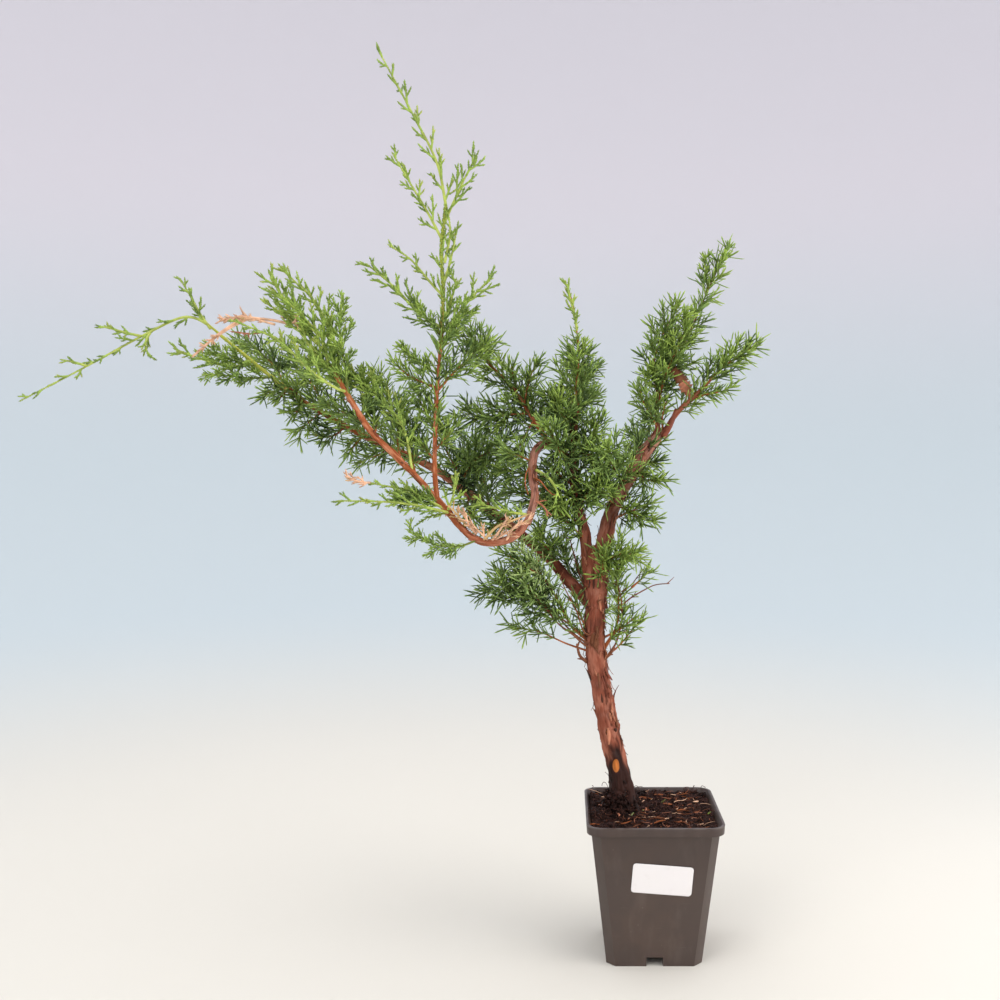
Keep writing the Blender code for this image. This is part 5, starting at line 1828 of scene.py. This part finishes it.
DEAD_SHOOTS = (
    DeadShoot((-124, -45, 301, -129, -48, 306, -134, -50, 312, -138, -51, 316), (0.95, 0.5), Tone.STRAW, 7, 0.9),
    DeadShoot((-120, -45, 297, -125, -50, 304, -126, -53, 311), (0.95, 0.5), Tone.SALMON, 6, 0.9),
    DeadShoot((-115, -45, 293, -106, -50, 302, -96, -50, 306, -85, -46, 310), (0.95, 0.6), Tone.STRAW, 9, 0.9),
    DeadShoot((-110, -44, 292, -104, -50, 300, -99, -52, 308), (0.9, 0.5), Tone.SALMON, 6, 0.9),
    DeadShoot((-82, -35, 319, -77, -40, 316, -74, -42, 313, -73, -42, 309), (0.7, 0.5), Tone.SALMON_DEEP, leafy=0.6),
    DeadShoot((-83, -29, 334, -78, -36, 332, -74, -38, 327, -70, -38, 323), (0.6, 0.4), Tone.TWIG_ORANGE, 3),
    DeadShoot((-82, -24, 344, -87, -30, 338, -88, -33, 330, -86, -35, 323), (0.5, 0.4), Tone.TWIG_ORANGE, 1),
    DeadShoot((-40, -2, 212, -47, -6, 216, -57, -8, 225, -66, -10, 232, -76, -14, 245, -82, -16, 253), (0.85, 0.4),
        Tone.TWIG, 6),
    DeadShoot((-40, -3, 216, -48, -6, 219, -59, -6, 228, -71, -6, 243, -79, -6, 255, -83, -8, 263), (0.8, 0.35),
        Tone.TWIG, 5),
    DeadShoot((-40, -4, 222, -48, -8, 226, -53, -9, 240, -61, -12, 256, -65, -14, 266), (0.7, 0.35), Tone.TWIG, 5),
    DeadShoot((-36, -2, 203, -29, -4, 212, -25, -4, 219, -22, -6, 233, -22, -8, 248, -26, -8, 263), (0.8, 0.4),
        Tone.TWIG, 5),
    DeadShoot((-22, -7, 244, -15, -8, 250, -5, -9, 256, 2, -9, 259, 11, -10, 260), (0.6, 0.35), Tone.TWIG),
    DeadShoot((-22, -8, 254, -15, -8, 259, -11, -6, 264, -6, -5, 270), (0.5, 0.3), Tone.TWIG, 3),
    DeadShoot((17, 6, 381, 15, 5, 376, 12, 5, 369, 8, 6, 362), (1.7, 2.2), Tone.BARK, 0),
    DeadShoot((-36, -4, 204, -31, -6, 209, -27, -7, 215), (1.5, 0.9), Tone.TWIG, 5),
    DeadShoot((-46, -4, 204, -51, -6, 209, -53, -7, 217), (1.3, 0.8), Tone.TWIG, 2),
    DeadShoot((-44, 2, 250, -50, 6, 262, -54, 8, 275, -58, 8, 290), (0.7, 0.4), Tone.TWIG, 6),
    DeadShoot((-100, -44, 293, -96, -50, 300, -90, -52, 306), (0.9, 0.5), Tone.SALMON, 5, 0.8),
    DeadShoot((-236, -52, 441, -239, -50, 435, -252, -50, 437, -262, -52, 438, -273, -53, 439, -283, -53, 436), (1.0,
        0.7), Tone.SALMON, 6, 0.8),
    DeadShoot((-266, -52, 438, -278, -53, 432, -287, -54, 426, -295, -54, 420, -303, -54, 413), (0.75, 0.7),
        Tone.SALMON, leafy=0.7),
    DeadShoot((-258, -58, 428, -268, -52, 428, -274, -50, 429), (0.7, 0.5), Tone.SALMON_DEEP, 3, 0.7),
)


@dataclass
class Deadwood:
    """Dead twigs, dry shoots and the sheet of dead bark at the right leader's end."""

    sheet: Route = (16, 4, 411, 18, -2, 406, 21, -5, 401, 24, -5, 396, 27, -2, 388)
    widths: tuple[float, ...] = (2.2, 4.4, 3.2, 4.6, 3.9, 5.2, 2.8, 0.8)
    width_stops: tuple[float, ...] = (0, 0.1, 0.25, 0.4, 0.55, 0.7, 0.85, 1)
    chance: random.Random = field(default_factory=lambda: random.Random(SEED + 2))

    def build(self) -> None:
        """Make the dead pieces."""
        chance, pile = self.chance, Pile()
        steps = np.linspace(0, 1, 4)[:, None]
        for shoot in DEAD_SHOOTS:
            line = smooth_curve(shoot.route, 1.6 * MM)
            pile.add_tube(line, np.linspace(*shoot.radii, len(line)) * MM, 5, shoot.tone)
            tangents, sides, fronts = carried_frames(line)
            for _ in range(shoot.spurs):
                ring = chance.randrange(1, len(line))
                turn, size = chance.uniform(0, math.tau), chance.uniform(2.5, 7) * MM
                out = spoke(turn, sides[ring], fronts[ring])
                spur = line[ring] + size * (steps * (0.75 * tangents[ring] + 0.6 * out) + 0.15 * steps ** 2 * out)
                pile.add_tube(spur, shoot.radii[1] * MM * np.array((1, 0.9, 0.7, 0.45)), 4, shoot.tone)
                if shoot.leafy:
                    self.scales(pile, spur, 0.0, shoot.tone)
            if shoot.leafy:
                self.scales(pile, line, 1 - shoot.leafy, shoot.tone)
        self.bark_sheet(pile)
        dress(pile.piece("dead_twigs"), "dry_shoots")

    def scales(self, pile: Pile, line: np.ndarray, start: float, tone: Tone) -> None:
        """Add dry scale leaves along a line.

        Args:
            pile: Where they are added.
            line: The line.
            start: The share of it where they begin.
            tone: Their tone.
        """
        length = lengths_along(line)[-1]
        count = max(2, int(length * (1 - start) / (1.4 * MM)))
        shares = start + (1 - start) * (np.arange(count) + 0.5) / count
        rings = (shares * (len(line) - 1)).astype(int)
        tangents, sides, fronts = (part[rings] for part in carried_frames(line))
        turns = np.array([self.chance.uniform(0, math.tau) for _ in range(count)])[:, None]
        out = np.cos(turns) * sides + np.sin(turns) * fronts
        pile.add_leaves(points_at(line, shares * length), units(0.85 * tangents + 0.5 * out), out,
                        np.full(count, 2.8 * MM), np.full(count, 1.3 * MM), 0.1, True, tone)

    def bark_sheet(self, pile: Pile) -> None:
        """Add the curled sheet of dead bark.

        Args:
            pile: Where it is added.
        """
        line = smooth_curve(self.sheet, 1.2 * MM)
        width = np.interp(np.linspace(0, 1, len(line)), self.width_stops, self.widths)[:, None, None] * MM
        tangents, _, _ = carried_frames(line)
        across = units(np.cross(tangents, np.array((0.25, -1.0, 0.2))))
        out = np.cross(across, tangents)[:, None]
        angles = np.radians((-75.0, -40.0, 0.0, 40.0, 75.0))
        ragged = 1 + 0.28 * np.sin(np.arange(len(line))[:, None] * 2.3 + np.sign(angles) * 2)
        shell = line[:, None] + width * ((ragged * np.sin(angles))[..., None] * across[:, None]
                                         + (np.cos(angles) - 1)[None, :, None] * out)
        rows = np.concatenate([shell, shell[:, ::-1] - 0.25 * MM * out], 1)
        count, around = rows.shape[:2]
        last = (count - 1) * around
        ends = [ends for j in range(1, around - 1) for ends in ((0, j, j + 1), (last, last + j + 1, last + j))]
        shade = np.where(np.arange(count - 1) < 0.5 * count, TONES[Tone.TWIG], TONES[Tone.SALMON_DEEP]).repeat(around)
        shade = np.concatenate([shade, shade, np.full(len(ends), TONES[Tone.TWIG])])
        pile.add(rows.reshape(-1, 3), np.concatenate([walls(count, around)[:, ::-1], ends]), shade)


# The studio


@dataclass
class Studio:
    """The pale sweep, the soft lights and the camera at the photograph's viewing angle."""

    camera_place: Triple = (-0.062, -0.789, 0.351)
    camera_pitch: float = math.radians(2.43)
    lens: float = 40.58
    shift: float = -0.064
    floor_radius: float = 0.7
    fillet: float = 2.1
    fillet_steps: int = 28
    wall_top: float = 3.6
    sky: Triple = (0.93, 0.95, 1.0)
    sky_strength: float = 1.38

    def build(self) -> None:
        """Make the sweep, the lights and the camera."""
        self.sweep()
        self.light("key", (-0.9, -1.35, 1.35), 1.1, 12, (1.0, 0.98, 0.96))
        self.light("fill", (1.2, -0.45, 0.35), 1.0, 13, (1.0, 0.95, 0.91), (0.15, 0, 0.2))
        self.light("top", (0.05, 0.0, 1.9), 1.5, 8, (1.0, 0.99, 0.97))
        scene, world = bpy.context.scene, bpy.data.worlds.new("soft_sky")
        world.use_nodes = True
        inputs = world.node_tree.nodes["Background"].inputs
        inputs["Color"].default_value, inputs["Strength"].default_value = (*self.sky, 1.0), self.sky_strength
        camera = put("camera", bpy.data.cameras.new("camera"))
        camera.location = Vector(POT_PLACE) + Vector(self.camera_place)
        camera.rotation_euler = (math.pi / 2 - self.camera_pitch, 0, 0)
        camera.data.lens, camera.data.sensor_width, camera.data.shift_x = self.lens, 36, self.shift
        scene.world, scene.camera, scene.view_settings.view_transform = world, camera, "Standard"
        LOG.info("studio ready")

    def sweep(self) -> None:
        """Make the floor, which curves up into a wall all round."""
        floor = Bench.start(bpy.ops.mesh.primitive_circle_add, "sweep", vertices=128, radius=self.floor_radius,
                            fill_type="NGON")
        with Bench.edit(floor):
            Bench.pick(floor, "edges", lambda edge: edge.is_boundary)
            before, height = self.floor_radius, 0.0
            for angle in np.linspace(0, math.pi / 2, self.fillet_steps + 1)[1:]:
                radius = self.floor_radius + self.fillet * math.sin(angle)
                rise = self.fillet * (1 - math.cos(angle))
                bpy.ops.mesh.extrude_edges_move(TRANSFORM_OT_translate={"value": (0, 0, rise - height)})
                bpy.ops.transform.resize(value=(radius / before, radius / before, 1), center_override=(0, 0, rise))
                before, height = radius, rise
            bpy.ops.mesh.extrude_edges_move(TRANSFORM_OT_translate={"value": (0, 0, self.wall_top - height)})
            bpy.ops.mesh.select_all(action="SELECT")
            bpy.ops.mesh.normals_make_consistent(inside=True)
        floor.data.shade_smooth()
        paint(floor, BackdropFinish().material())

    @staticmethod
    def light(name: str, place: Triple, size: float, power: float, colour: Triple, aim: Triple = (0, 0, 0.3)) -> None:
        """Add one soft light.

        Args:
            name: Its name.
            place: Where it hangs.
            size: The width of its square face.
            power: Its power in watts.
            colour: Its colour.
            aim: Where it points.
        """
        lamp = bpy.data.lights.new(name, "AREA")
        lamp.size, lamp.energy, lamp.color = size, power, colour
        item = put(name, lamp)
        item.location = place
        item.rotation_euler = (Vector(aim) - Vector(place)).to_track_quat("-Z", "Y").to_euler()


def main() -> None:
    """Build the studio, the pot and what fills it, and the tree."""
    logging.basicConfig(level=logging.INFO, format="%(name)s: %(message)s")
    Studio().build()
    pot = Pot()
    for part in (pot, Label(pot), Compost(pot), Wood(), Crown(), Deadwood()):
        part.build()


if __name__ == "__main__":
    main()
